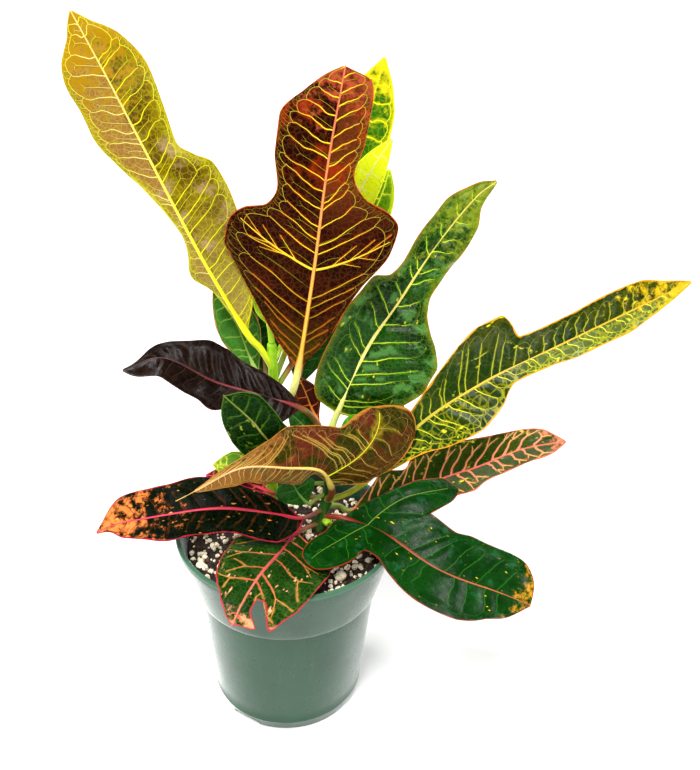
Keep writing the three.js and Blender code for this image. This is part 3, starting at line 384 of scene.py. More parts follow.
# What each leaf has of its own
LOOKS = dict(
    # Its paler left half and paler left veins are partly its own colour and partly painted sheen.
    leaf_tall_left=dict(
        slot="leaf_olive", ground="#867204", second="#5c4206", patch=13, left_ground="#a4743c",
        base_ground="#a08a44", cloud="#b08c70", cloud_size=15, cloud_span=(0.12, 0.55),
        edge_ground="#a09818", edge_reach=6, halo="#b8a60c", halo_reach=0.4, net="#d0cc20", net_amount=0.5,
        tip="#b0840a", tip_from=0.72, margin="#dcb42c", gloss=0.34, glow=0.24, shine=0.06, vein="#f4f018",
        vein_left="#f2ea8c", vein_end="#e4e030", vein_keep=1, fade=0.12, rib="#faf608", rib_tip="#ecd070",
        stalk="#e0ec1c", stalk_foot="#b9d81f", back_ground="#5f7a1c", back_second="#75861c",
        back_vein="#c9cc3a", spacing=9, spacing_tip=7, vein_width=0.42, fine_width=0.24, between=1,
        arch=0.75, bulge=0.5, stalk_radius=1.6,
    ),
    leaf_maroon=dict(
        slot="leaf_maroon", ground="#220200", second="#340a01", patch=14, right_ground="#60280c",
        right_from=0.5, base_ground="#3c3004", base_from=0.24, cloud="#a02404", cloud_amount=0.6,
        cloud_size=14, cloud_from=0.46, cloud_span=(0.62, 2.0), edge_ground="#300c03", edge_reach=3,
        halo="#bc4404", halo_reach=0.35, halo_amount=0.7, halo_spread=5, net="#8a5a14", tip="#b0482c",
        tip_from=0.86, margin="#c2501a", gloss=0.4, glow=0.1, shine=0.03, vein="#f0d828",
        lobe_vein="#e8cc30", vein_end="#c8b034", vein_keep=1, fade=0.3, base_fade=0.7, lobe_clear=0.35,
        lobe_bow=-0.1, lobe_taper=0.25,
        lobe_forks=((0.22, 0.6), (0.34, -0.5), (0.44, 0.52), (0.54, -0.46), (0.64, 0.4)), rib="#f0c440",
        rib_tip="#dc7858", rib_edge="#d8701c", stalk="#eaea86", stalk_foot="#c98a5a", back_ground="#2f3c12",
        back_second="#4a3512", back_vein="#a89a34", spacing=8, spacing_tip=4.8, lobe_width=1.15,
        vein_width=0.42, fine_width=0.2, between=0.8, lean=(-0.5, 0.3, -0.45, -0.2), bulge=0.6,
        stalk_radius=1.7, rib_width=1.2,
    ),
    # Its pale green clouds between the veins are a painted highlight on the blade's quilted swells.
    leaf_right_upper=dict(
        ground="#012601", second="#0c4203", patch=24, cloud="#5e9c4c", cloud_amount=0.5, cloud_size=11,
        cloud_span=(0.0, 0.62), cloud_cell=2.8, edge_ground="#6c7c14", edge_amount=0.6, halo="#5c9614",
        halo_reach=0.8, halo_amount=0.5, net="#7ca01c", net_amount=0.2, net_edge=9, fleck="#d4c820",
        fleck_amount=0.3, tip="#7c8c1c", tip_from=0.66, tip_soft=0.5, margin="#b8701c", gloss=0.22,
        shine=0.12, vein="#d4e438", vein_end="#6a9420", vein_keep=0.8, fade=0.5, rib="#f2ec84",
        rib_tip="#e8c850", stalk="#e4ec80", stalk_foot="#a9c43a", spacing=8.5, vein_width=0.38, between=1,
        fork=(0.5, 0.8), lean=(-0.35, 0, -0.35, 0), bulge=1.2, roll=0.5, stalk_radius=1.6, rib_width=1.2,
    ),
    leaf_right_long=dict(
        slot="leaf_olive", ground="#182e03", second="#2c3803", patch=14, right_ground="#546428",
        right_from=0.42, base_ground="#143a06", halo="#a8b018", halo_reach=0.4, halo_amount=0.35,
        halo_spread=3, net="#c8c820", net_size=4, net_amount=0.5, net_left=0.12, fleck="#e4e020",
        tip="#d8b00c", tip_from=0.82, margin="#e89c20", margin_width=0.7, gloss=0.28, shine=0.1,
        vein="#ece840", vein_end="#d0d030", fade=0.3, left_fade=0.45, rib="#c8b838", rib_tip="#f0b42c",
        stalk="#a4a828", stalk_foot="#b4c83c", vein_width=0.4, fine_width=0.22, fork=(0.5, 0.8), bulge=0.6,
        stalk_radius=1.5,
    ),
    leaf_right_pink=dict(
        ground="#1c3402", second="#2c3c06", patch=12, right_ground="#3a4828", halo="#b86c38",
        halo_reach=0.5, halo_amount=0.7, halo_spread=2.2, net="#7a7a28", net_amount=0.15, fleck="#d8c83a",
        fleck_amount=0.8, tip="#e07c5c", tip_from=0.92, tip_soft=0.2, margin="#e2664e", margin_width=0.5,
        gloss=0.34, shine=0.08, vein="#e0805f", vein_end="#d0a060", vein_keep=1, rib="#dc5c4c",
        rib_tip="#e4705c", stalk="#7a8a34", spacing=7, vein_width=1.2, taper=0.5, fork=(0.5, 0.72),
        open=True, bulge=0.35,
    ),
    # Its green clouds between the veins are a painted highlight, a faint sheen on the blade.
    leaf_front_right=dict(
        ground="#012a01", second="#053604", patch=14, cloud="#24643c", cloud_amount=0.4, cloud_from=0.54,
        cloud_cell=3.0, halo="#2c6410", halo_reach=0.3, net="#1f5a20", net_amount=0.14, fleck="#e0c020",
        fleck_amount=0.3, tip="#c98a1e", tip_from=0.93, tip_soft=0.16, margin="#8c2c18", gloss=0.28,
        shine=0.08, vein="#225c14", lobe_vein="#6a8a30", vein_end="#2c641c", vein_keep=0.9, fade=0.5,
        rib="#7c1a14", rib_tip="#c85a2c", rib_edge="#b86850", stalk="#8c3020", stalk_foot="#7a6a34",
        spacing=8.5, lobe_width=0.5, vein_width=0.36, bulge=0.5, roll=0.5,
    ),
    leaf_front=dict(
        ground="#042603", second="#0c3006", patch=11, cloud="#284818", cloud_amount=0.5, cloud_size=8,
        halo="#e8a048", halo_spread=2.6, net="#7a9a34", net_amount=0.15, fleck="#e8a878", fleck_amount=0.7,
        tip="#dc9468", tip_from=0.9, margin="#b42c3c", margin_width=0.5, gloss=0.34, shine=0.04,
        vein="#c0503c", vein_end="#c08a3c", vein_keep=1, rib="#a82c3c", rib_tip="#d86858", stalk="#a86a48",
        stalk_foot="#8a8a34", spacing=11.5, vein_width=0.72, taper=0.55, fork=(0.42, 0.7), open=True,
        bulge=0.6, roll=0.5, stalk_radius=1.1, rib_width=1.3,
    ),
    leaf_left_low=dict(
        slot="leaf_dark", ground="#010702", second="#030a03", patch=12, cloud="#0c1408", cloud_amount=0.3,
        halo="#8a3c14", halo_reach=0.5, halo_amount=0.25, halo_spread=4, net="#3c441c", net_amount=0.12,
        fleck="#e8a03c", fleck_amount=0.5, tip="#f0823c", tip_from=0.7, tip_soft=0.5, margin="#a82038",
        margin_width=0.5, gloss=0.3, shine=0.02, vein="#2c160c", vein_end="#2c2c14", vein_keep=0.45,
        fade=0.45, rib="#b01c34", rib_tip="#dc3050", stalk="#8a5448", stalk_foot="#6a6a34", spacing=7.5,
        vein_width=0.4, bulge=0.35, stalk_radius=1.1, rib_width=1.2,
    ),
    leaf_twisted=dict(
        slot="leaf_olive", ground="#2c2a03", second="#4a2a08", patch=10, left_ground="#6e5428",
        cloud="#642018", cloud_size=10, cloud_from=0.42, cloud_span=(0.1, 0.6), halo="#b09a20",
        halo_reach=0.3, halo_amount=0.4, net="#a89a30", net_amount=0.1, tip="#8c5c24", tip_from=0.4,
        tip_soft=0.5, margin="#b87828", margin_width=0.3, gloss=0.34, glow=0.12, shine=0.04, vein="#dcb85c",
        vein_left="#e4cc84", lobe_vein="#f6f22c", vein_end="#d8a860", vein_keep=1, fade=0.3, rib="#ecd060",
        rib_tip="#e8b484", stalk="#6a3414", stalk_foot="#b4cc3a", back_ground="#23400f",
        back_second="#3a4a12", back_vein="#c9a84a", spacing=3.1, lobe_width=1.0, vein_width=0.21,
        fine_width=0.15, lean=(0, 0, 1.3, 1.0), bulge=0.45, stalk_radius=1.7,
    ),
    leaf_purple=dict(
        slot="leaf_dark", ground="#0a0200", second="#140602", patch=14, halo="#2c1a10", halo_amount=0.15,
        net="#3c2c20", margin="#3e1c14", gloss=0.3, shine=0.08, vein="#33221a", vein_end="#241a16",
        fade=0.5, rib="#741820", rib_tip="#3c1818", stalk="#8f6a2c", back_ground="#241a18",
        back_second="#302420", back_vein="#502a28", spacing=5, vein_width=0.45, bulge=1.2, roll=0.55,
    ),
    leaf_small_left=dict(
        ground="#012002", second="#052803", net_amount=0.12, fleck="#9ab02c", margin="#4a6a1c", gloss=0.26,
        shine=0.04, vein="#3c6a1c", vein_end="#2c5a14", rib="#b0a04c", rib_tip="#7a8a34", spacing=7,
    ),
    leaf_small_red=dict(
        slot="leaf_dark", ground="#2a0c06", second="#3f1208", halo="#9a3410", halo_reach=0.5,
        halo_amount=0.5, net="#6a3010", margin="#8a3a1c", vein="#d8742c", vein_end="#a8541c", rib="#e07a28",
        rib_tip="#d89a34", stalk="#b03424", stalk_foot="#a02c20", vein_width=0.45, stalk_radius=0.9,
        rib_width=0.9,
    ),
    leaf_left_red=dict(
        slot="leaf_dark", ground="#2c0a08", second="#4a100c", halo="#a83a1c", halo_amount=0.5,
        net="#6a2a14", margin="#cf3a5c", margin_width=0.5, vein="#c9603c", vein_end="#a8441c",
        rib="#c92c3c", rib_tip="#d83a54", stalk="#a03a2c", stalk_radius=1.0,
    ),
    leaf_lime=dict(
        slot="leaf_bright", ground="#f8fa20", second="#eef41c", cloud="#f4f43c", cloud_amount=0.7,
        cloud_size=12, edge_ground="#ecee20", halo="#f0f248", halo_reach=0.9, halo_amount=0.85,
        net="#eef06a", net_amount=0.05, tip="#f2ee20", margin="#f0f030", gloss=0.42, glow=0.38, shine=0.1,
        vein="#fcfcb0", vein_end="#f6f860", vein_keep=1, fade=0.4, rib="#fcfca8", rib_tip="#f8f880",
        stalk="#cfe03a", stalk_foot="#b8d82c", back_ground="#b8cc3a", back_second="#c9d84a",
        back_vein="#e0e88a", spacing=6.5, vein_width=0.4,
    ),
    leaf_young=dict(
        slot="leaf_bright", ground="#a8d41e", second="#8fc41a", halo="#cfe83a", net="#cfe85a",
        margin="#d8ec3a", gloss=0.4, glow=0.3, vein="#d8ec4a", vein_end="#c9e03a", rib="#dcf05a",
        rib_tip="#d8ec4a", stalk="#a8d020", stalk_foot="#9ac81e", back_ground="#9ac82c",
        back_second="#b0d63a", back_vein="#d8e87a", spacing=5, stalk_radius=1.2, rib_width=0.9,
    ),
    leaf_small_bright=dict(
        slot="leaf_bright", ground="#1f7a10", second="#3a8f14", halo="#8ac02c", halo_amount=0.4,
        margin="#8ab82c", gloss=0.34, glow=0.15, vein="#8fc43a", vein_end="#6aae2c", rib="#b8d84a",
        rib_tip="#9ac43a", stalk="#9ac03a", spacing=5, stalk_radius=0.9, rib_width=0.8,
    ),
    leaf_left_green=dict(
        slot="leaf_bright", ground="#4a7a14", second="#6a8a14", halo="#b8c02c", halo_reach=0.8,
        halo_amount=0.6, fleck="#d0cc34", margin="#c9c03a", margin_width=0.5, vein="#c9cc3a",
        vein_end="#b8b82c", rib="#d0cc4a", rib_tip="#9aa63c", spacing=5.5, stalk_radius=1.0,
    ),
    leaf_back_top=dict(
        slot="leaf_olive", ground="#2c6a08", second="#3c7a0c", patch=10, edge_ground="#e4dc14",
        edge_reach=4, halo="#ccd010", halo_reach=1.1, halo_amount=0.75, halo_spread=2.4, net="#d8dc18",
        net_size=3.2, net_amount=0.35, tip="#f0dc10", margin="#ece414", margin_width=0.8, glow=0.22,
        vein="#f6f41c", vein_end="#f0f020", vein_keep=1, fade=0.05, rib="#f4f230", rib_tip="#f4e418",
        stalk="#b8c02c", spacing=7.5, vein_width=0.7,
    ),
    leaf_back_right=dict(
        slot="leaf_olive", ground="#4c8e04", second="#689c0c", patch=10, edge_ground="#b8e018",
        edge_reach=4, halo="#b6d81c", halo_amount=0.7, net="#c0dc2c", net_amount=0.3, margin="#e0e820",
        margin_width=0.8, gloss=0.32, glow=0.25, vein="#f0f23a", vein_end="#d8ec34", vein_keep=1, fade=0.1,
        rib="#f8f84a", rib_tip="#e8f03a", stalk="#a8542c", stalk_foot="#8aa82c", spacing=7.5,
        vein_width=0.7,
    ),
    leaf_back_left=dict(
        ground="#2f6a1c", second="#44802a", halo="#7aa83a", halo_amount=0.4, margin="#c98a5c",
        margin_width=0.5, vein="#8fb84a", vein_end="#7aa83a", rib="#a8c45a", rib_tip="#9aa63c", spacing=6.5,
    ),
    leaf_back_big=dict(
        ground="#0c3f10", second="#175216", halo="#3a7a24", margin="#7a7c2c", vein_end="#35702a",
        rib="#c08a70", rib_tip="#a89a5c", stalk="#a86a4c", spacing=6.5,
    ),
)

# The right one of the two big back leaves has a redder midrib
LOOKS["leaf_back_big_right"] = {**LOOKS["leaf_back_big"], "rib": "#b56a52"}

# The rest of the small ones share the plain deep green, with a slighter stalk
for small in ("leaf_small_low", "leaf_small_middle", "leaf_small_behind"):
    LOOKS[small] = dict(halo_amount=0.15, stalk_radius=1.0, rib_width=0.9)


# Curves and numbers
def unit(vectors):
    """The same directions, each one long."""
    return vectors / np.linalg.norm(vectors, axis=-1, keepdims=True)


def smoothstep(share):
    share = np.clip(share, 0, 1)
    return share**2 * (3 - 2 * share)


def turn_angles(count):
    """Angles evenly spaced once round."""
    return 2 * math.pi * np.arange(count) / count


def summed(steps):
    """What has been walked before the first step and after each one."""
    return np.concatenate([[0], np.cumsum(steps)])


def walked_along(points):
    return summed(np.linalg.norm(np.diff(points, axis=0), axis=1))


def sampled(places, walked, values):
    """Rows of values at some places of a line, from those at the lengths walked."""
    return np.stack([np.interp(places, walked, column) for column in values.T], -1)


def smooth_curve(points):
    """Dense points of one smooth curve through the given ones."""
    ends = np.vstack([2 * points[0] - points[1], points, 2 * points[-1] - points[-2]])
    f = (np.arange(SPAN_STEPS) / SPAN_STEPS)[:, None]
    dense = []
    for a, b, c, d in zip(ends, ends[1:], ends[2:], ends[3:]):
        bend = (2 * a - 5 * b + 4 * c - d) * f**2 + (3 * b - a - 3 * c + d) * f**3
        dense.append(0.5 * (2 * b + (c - a) * f + bend))
    return np.vstack([*dense, points[-1:]])


def steady_values(column, places):
    """An even-tempered curve through a column of numbers: it never swings past them."""
    rises = np.diff(column)
    before, after = rises[:-1], rises[1:]
    agree = before * after > 0
    inner = np.where(agree, 2 * before * after / np.where(agree, before + after, 1), 0)
    slopes = np.concatenate([rises[:1], inner, rises[-1:]])
    i = np.clip(places.astype(int), 0, len(column) - 2)
    f = places - i
    ease = f * f * (3 - 2 * f)
    lean = slopes[i] * (f**3 - 2 * f**2 + f) + slopes[i + 1] * (f**3 - f**2)
    return column[i] * (1 - ease) + column[i + 1] * ease + lean


def by_half(across, share, ends):
    """Values from four: the left half's at the base and at the tip, and the right half's."""
    left = ends[0] + (ends[1] - ends[0]) * share
    right = ends[2] + (ends[3] - ends[2]) * share
    return np.where(across < 0, left, right)


# Leaf surfaces
def oval_rows(length, width, peak):
    """Rows of a plain oval blade from its length, half width and the place of its widest part."""
    rows = []
    for share in OVAL_SHARES:
        half = max(OVAL_MIN, width * max(0, math.sin(math.pi * share**peak)) ** OVAL_FULLNESS)
        along = min(share * length + OVAL_LEAN * half * (1 - share), length)
        rows.append((share * length, along, half, along, half))
    return rows


class LeafShape:
    """One leaf's surface, the same as its solid's: side veins in rows on a midrib, folded and curled."""

    def __init__(self, sheet):
        self.line = smooth_curve(np.array(sheet["stalk"] + sheet["rib"], float) * MM)
        self.walked = walked_along(self.line)
        self.total = self.walked[-1]
        self.stalk_length = self.walked[SPAN_STEPS * len(sheet["stalk"])]
        self.blade_length = self.total - self.stalk_length
        self.forwards = unit(np.gradient(self.line, self.walked, axis=0))
        self.faces = unit(np.array(sheet["face"], float) * np.ones((2, 1)))
        self.fold = np.radians(np.resize(sheet.get("fold", PLAIN_FOLD), 4))
        self.curl = np.radians(np.resize(sheet.get("curl", 0), 4)) / BROAD
        self.ripple_height, self.ripple_count = sheet.get("ripple", (0, 1))
        self.rows = np.array(self.vein_rows(sheet), float) * MM
        self.last_row = len(self.rows) - 1
        self.outward = -1 if sheet.get("under") else 1

    def vein_rows(self, sheet):
        """The leaf's own rows between those of its base and its tip, or the rows of an oval."""
        if "width" in sheet:
            return oval_rows(self.blade_length / MM, sheet["width"], sheet.get("peak", 1))
        length, half = sheet["length"], sheet.get("tip_half", TIP_HALF)
        return [BASE_ROW, *sheet["rows"], (length, length, half, length, half)]

    def axes(self, along):
        """Centre of the rib, the way forward, up and right at places along it."""
        distance = self.stalk_length + along
        held = np.clip(distance, 0, self.total)
        forward = unit(sampled(held, self.walked, self.forwards))
        centre = sampled(held, self.walked, self.line) + forward * (distance - held)[..., None]
        share = np.clip(along / self.blade_length, 0, 1)[..., None]
        up = unit(self.faces[0] * (1 - share) + self.faces[1] * share)
        up = unit(up - forward * np.sum(up * forward, -1, keepdims=True))
        return centre, forward, up, np.cross(forward, up)

    def place(self, along, across):
        """Points and normals on the folded and curled blade."""
        centre, _, up, right = self.axes(along)
        share = np.clip(along / self.blade_length, 0, 1)
        side = np.where(across < 0, -1, 1)
        lift = by_half(across, share, self.fold)
        bend = by_half(across, share, self.curl)
        bend = np.where(np.abs(bend) < LEAST_BEND, LEAST_BEND, bend)
        end = lift + bend * np.abs(across)
        out = (np.sin(end) - np.sin(lift)) / bend
        rise = (np.cos(lift) - np.cos(end)) / bend
        point = centre + right * (side * out)[..., None] + up * rise[..., None]
        normal = up * np.cos(end)[..., None] - right * (side * np.sin(end))[..., None]
        return point, normal

    def spread(self, row, out):
        """Places along and across the blade, and the ripple there. out runs from -1, left, to 1, right."""
        columns = (steady_values(column, row) for column in self.rows.T)
        root, left_along, left_out, right_along, right_out = columns
        share = np.abs(out)
        end_along = np.where(out < 0, left_along, right_along)
        end_out = np.where(out < 0, left_out, right_out)
        along = root + (end_along - root) * share**VEIN_BEND
        across = np.sign(out) * end_out * share
        phase = 2 * math.pi * self.ripple_count * root / self.blade_length + np.where(out < 0, LEFT_PHASE, 0)
        height = self.ripple_height * MM * np.minimum(1, end_out / RIPPLE_FADE)
        return along, across, height * share**2 * np.sin(phase)

    def flat(self, row, out):
        """Places along and across the blade, in pairs."""
        return np.stack(self.spread(row, out + 0 * row)[:2], -1)

    def relief(self, along, across, gap, look):
        """How far the blade bulges between its veins and rolls over its length, towards its upper side."""
        bulge = 1 - np.exp(-((gap / BULGE_REACH) ** 2))
        a, b, c, d = ROLL_WAVES
        roll = np.sin(across / a + along / b) * np.sin(along / c - across / d)
        return self.outward * (look["bulge"] * bulge + look["roll"] * roll) * MM

    def surface(self, row, out, gap, look):
        """Finished points and normals of the blade, with its ripple and relief."""
        along, across, ripple = self.spread(row, out)
        point, normal = self.place(along, across)
        height = ripple + self.relief(along, across, gap, look)
        return point + normal * height[..., None], normal


# Vein networks. A vein is a path of (row, out) spots, its width at each end, and its rank.
def path_through(spots):
    """A smooth path through (row, out) spots."""
    return smooth_curve(np.array(spots))[::PATH_STEP]


def bent(spots, cell, side, draw, wobble):
    """A path through (share of the cell, out) spots, a little off those in the middle."""
    row, step = cell[:2]
    spots = [[row + step * share, side * out] for share, out in spots]
    for spot in spots[1:-1]:
        spot[0] += step * draw.uniform(-wobble, wobble)
    return path_through(spots)


def even_rows(shape, side, look, draw):
    """Rows of the side veins of one half, spaced halfway out as the look says for the base and the tip."""
    rows = np.linspace(0, shape.last_row, ROW_SAMPLES)
    spacing = np.linspace(look["spacing"], look["spacing_tip"] or look["spacing"], ROW_SAMPLES)[1:] * MM
    walked = summed(np.diff(walked_along(shape.flat(rows, 0.5 * side))) / spacing)
    count = max(4, int(walked[-1]))
    places = [(k + 0.5 + draw.uniform(-0.3, 0.3)) * walked[-1] / count for k in range(count)]
    return np.interp(places, walked, rows)


def side_vein(row, side, lobe, fork, lean, draw):
    """A side vein from the midrib, or from its lobe's own vein, out to its fork."""
    start, stem = VEIN_ROOT, row
    if lobe:
        _, stem, first, last = lobe
        edge = first if row < stem else last
        start = 0.08 + 0.66 * (1 - abs(row - stem) / abs(edge - stem))
        stem += (0.5 * (first + last) - stem) * start / LOBE_REACH
    fork = max(fork, start + LEAST_STEM)
    share = np.linspace(0, 1, 12)
    rows = np.maximum(0.1, stem + (row - stem) * share**0.6 + lean * (1 - share))
    rows += SWAY * np.sin(share * math.pi * draw.uniform(1, 2.4)) * draw.choice([-1, 1])
    rows += TREMBLE * np.sin(share * math.pi * draw.uniform(4, 7))
    return np.stack([rows, side * (start + (fork - start) * share)], -1), fork


def lobe_row(lobe, look, share):
    """The row of a lobe's own vein at a share of its way out."""
    _, root, first, last = lobe
    return root + (0.5 * (first + last) - root) * share + look["lobe_bow"] * np.sin(math.pi * share)


def lobe_veins(lobe, look):
    """A lobe's own vein, and the branches that it sends to both sides."""
    side = lobe[0]
    width = look["lobe_width"] * MM
    branch_width = look["vein_width"] * MM
    share = np.linspace(0, 1, 14)
    out = VEIN_ROOT + (LOBE_REACH - VEIN_ROOT) * share
    path = np.stack([lobe_row(lobe, look, share), side * out], -1)
    veins = [(path, width, look["lobe_taper"] * width, LOBE)]
    for start, lean in look["lobe_forks"]:
        foot = lobe_row(lobe, look, start)
        spots = [(foot, start), (foot + 0.45 * lean, start + 0.12), (foot + lean, start + 0.28)]
        path = path_through([(row, side * out) for row, out in spots])
        veins.append((path, 0.8 * branch_width, 0.35 * branch_width, MAIN))
    return veins


def half_network(shape, side, look, lobes, draw):
    """Side veins of one half, and what branches from them towards the margin."""
    lobes = [lobe for lobe in lobes if lobe[0] == side]
    ends = [0.5 * (lobe[2] + lobe[3]) for lobe in lobes]
    rows = even_rows(shape, side, look, draw)
    rows = [row for row in rows if all(abs(row - end) > look["lobe_clear"] for end in ends)]
    width = look["vein_width"] * MM
    at_base, at_tip = look["lean"][:2] if side < 0 else look["lean"][2:]
    veins, forks = [], []
    for row in rows:
        lobe = next((lobe for lobe in lobes if lobe[2] < row < lobe[3]), None)
        lean = 0 if lobe else at_base + (at_tip - at_base) * row / shape.last_row
        path, fork = side_vein(row, side, lobe, draw.uniform(*look["fork"]), lean, draw)
        forks.append(fork)
        veins.append((path, width * draw.uniform(0.85, 1.15), look["taper"] * width, MAIN))
    for lobe in lobes:
        veins += lobe_veins(lobe, look)
    for row, following, low, high in zip(rows, rows[1:], forks, forks[1:]):
        cell = (row, following - row, low, high)
        veins += (open_forks if look["open"] else closed_cell)(cell, side, look, draw)
        if draw.random() < look["between"]:
            veins += weak_vein(cell, side, look, draw)
    return veins


def closed_cell(cell, side, look, draw):
    """The round arch that closes the cell between two side veins, and small loops outside it."""
    low, high = cell[2:]
    arch = look["arch"] * look["vein_width"] * MM
    fine = look["fine_width"] * MM
    apex = min(ARCH_REACH, max(low, high) + draw.uniform(0.08, 0.13))
    near, far = low + 0.6 * (apex - low), high + 0.6 * (apex - high)
    spots = [(0, low), (0.17, near), (draw.uniform(0.42, 0.6), apex), (0.84, far), (1, high)]
    veins = [(bent(spots, cell, side, draw, 0.03), arch, arch, ARCH)]
    for share, start in ((0.2, near + 0.01), (0.5, apex), (0.8, far + 0.01)):
        share += draw.uniform(-0.06, 0.06)
        middle = (share - 0.03, 0.5 * (start + FINE_REACH))
        turn, end = (share + 0.1, FINE_REACH - 0.005), (share + 0.3, FINE_REACH - 0.03)
        spots = [(share, start), middle, turn, end]
        veins.append((bent(spots, cell, side, draw, 0.02), fine, 0.5 * fine, FINE))
    return veins


def open_forks(cell, side, look, draw):
    """Branches that spread from a side vein's fork and end free in the blade."""
    fork = cell[2]
    width = 0.55 * look["vein_width"] * MM
    veins = []
    for lean in (-0.3, 0.34):
        end = fork + (FINE_REACH - fork) * draw.uniform(0.55, 1)
        middle = (0.45 * lean, 0.55 * fork + 0.45 * end)
        spots = [(0, fork), middle, (lean, end)]
        veins.append((bent(spots, cell, side, draw, 0.05), width, 0.4 * width, MAIN))
        twig = [middle, (1.2 * lean, 0.4 * fork + 0.6 * end), (1.7 * lean, end)]
        if draw.random() < 0.6:
            veins.append((bent(twig, cell, side, draw, 0.05), 0.5 * width, 0.25 * width, FINE))
    return veins


def weak_vein(cell, side, look, draw):
    """A slighter vein between two side veins, forked where it gives out."""
    fine = look["fine_width"] * MM
    end = draw.uniform(0.45, 0.85) * min(cell[2:])
    middle = draw.uniform(0.4, 0.6)
    spots = [(middle, 0.02), (middle + 0.04, 0.5 * end), (middle, end)]
    veins = [(bent(spots, cell, side, draw, 0.04), fine, 0.7 * fine, FINE)]
    for lean in (-0.2, 0.2):
        tip = (middle + lean, end + draw.uniform(0.05, 0.14))
        spots = [(middle, end), (middle + 0.5 * lean, end + 0.05), tip]
        veins.append((bent(spots, cell, side, draw, 0.03), 0.7 * fine, 0.3 * fine, FINE))
    return veins


def vein_network(sheet, shape, look):
    draw = random.Random(sheet["name"])
    lobes = sheet.get("lobes", ())
    return half_network(shape, -1, look, lobes, draw) + half_network(shape, 1, look, lobes, draw)


def gap_tree(places):
    """A finder of the nearest of these places on the flat blade."""
    tree = KDTree(len(places))
    for i, place in enumerate(places):
        tree.insert((*place, 0), i)
    tree.balance()
    return tree


def gaps_to(tree, flat):
    return np.array([tree.find((*place, 0))[2] for place in flat])


def dense_lines(lines):
    """Places every fraction of a millimetre along some flat lines."""
    places = []
    for line in lines:
        walked = walked_along(line)
        steps = np.linspace(0, walked[-1], max(2, int(walked[-1] / TREE_STEP)))
        places.append(sampled(steps, walked, line))
    return np.vstack(places)


# Meshes
class Patch:
    """Points, faces and what the materials read at each point."""

    def __init__(self, points, faces, slot, place, **traits):
        self.points = points.reshape(-1, 3)
        self.faces = faces
        self.slot = slot
        self.place = place.reshape(-1, 3)
        count = len(self.points)
        self.traits = {name: np.broadcast_to(traits.get(name, 0.0), count) for name in TRAITS}


def make_object(name, points, faces, materials, slots=None):
    mesh = bpy.data.meshes.new(name)
    mesh.from_pydata([tuple(p) for p in points], [], faces)
    for material in materials:
        mesh.materials.append(material)
    if slots:
        mesh.polygons.foreach_set("material_index", np.array(slots, np.int32))
    mesh.shade_smooth()
    mesh.update()
    piece = bpy.data.objects.new(name, mesh)
    bpy.context.scene.collection.objects.link(piece)
    return piece


def joined(name, patches, materials):
    """One object from several patches, with their traits as attributes."""
    faces, slots = [], []
    first = 0
    for patch in patches:
        faces += [tuple(int(i) + first for i in face) for face in patch.faces]
        slots += [patch.slot] * len(patch.faces)
        first += len(patch.points)
    piece = make_object(name, np.vstack([patch.points for patch in patches]), faces, materials, slots)
    for trait in TRAITS:
        column = piece.data.attributes.new(trait, "FLOAT", "POINT")
        values = np.concatenate([patch.traits[trait] for patch in patches])
        column.data.foreach_set("value", values.astype(np.float32))
    column = piece.data.attributes.new("leaf_place", "FLOAT_VECTOR", "POINT")
    values = np.vstack([patch.place for patch in patches])
    column.data.foreach_set("vector", values.astype(np.float32).ravel())
    return piece


def grid_faces(rows, columns, flip=False, wrap=False):
    """Quads over a grid of points in row order; wrap closes each row into a ring."""
    faces = []
    for r in range(rows - 1):
        for c in range(columns if wrap else columns - 1):
            a, b = r * columns + c, r * columns + (c + 1) % columns
            quad = (a, b, b + columns, a + columns)
            faces.append(quad[::-1] if flip else quad)
    return faces


def turned(profile, sides):
    """Rings of points round the upright axis, from an outline of (radius, height) spots."""
    return [(r * math.cos(a), r * math.sin(a), z) for r, z in profile for a in turn_angles(sides)]


def ring_tube(centres, rights, ups, half_widths, heights, depths, sides):
    """Rings of points round a line: wide by half_widths, up by heights and down by depths."""
    cosines, sines = np.cos(turn_angles(sides)), np.sin(turn_angles(sides))
    tall = np.where(sines > 0, heights[:, None], depths[:, None]) * sines
    wide = half_widths[:, None] * cosines
    return centres[:, None] + rights[:, None] * wide[..., None] + ups[:, None] * tall[..., None]


def capped_tube(name, rings, material):
    """An object from rings of points, closed at its far end."""
    count, sides, _ = rings.shape
    faces = grid_faces(count, sides, wrap=True, flip=True)
    faces.append(tuple(range((count - 1) * sides, count * sides)))
    return make_object(name, rings.reshape(-1, 3), faces, [material])


def dome(share):
    """The radius of a rounded end, from 1 where it starts to a small flat at its top."""
    return np.sqrt(np.clip(1 - np.clip(share, 0, 1) ** 2, 0.02, 1))


# Leaves
def blade_grid(shape):
    """Row and out values of the blade's grid, fine enough everywhere."""
    rows = []
    for k, step in enumerate(np.abs(np.diff(shape.rows, axis=0))):
        longest = max(np.hypot(step[1], step[2]), np.hypot(step[3], step[4]), step[0])
        count = max(2, math.ceil(longest / GRID_STEP))
        rows += [k + i / count for i in range(count)]
    rows.append(shape.last_row)
    root, left_along, left_out, right_along, right_out = shape.rows.T
    widest = max(np.hypot(left_along - root, left_out).max(), np.hypot(right_along - root, right_out).max())
    columns = min(MOST_COLUMNS, max(FEWEST_COLUMNS, math.ceil(widest / GRID_STEP)))
    outs = np.arange(-columns, columns + 1) / columns
    return np.meshgrid(np.array(rows, float), outs, indexing="ij")


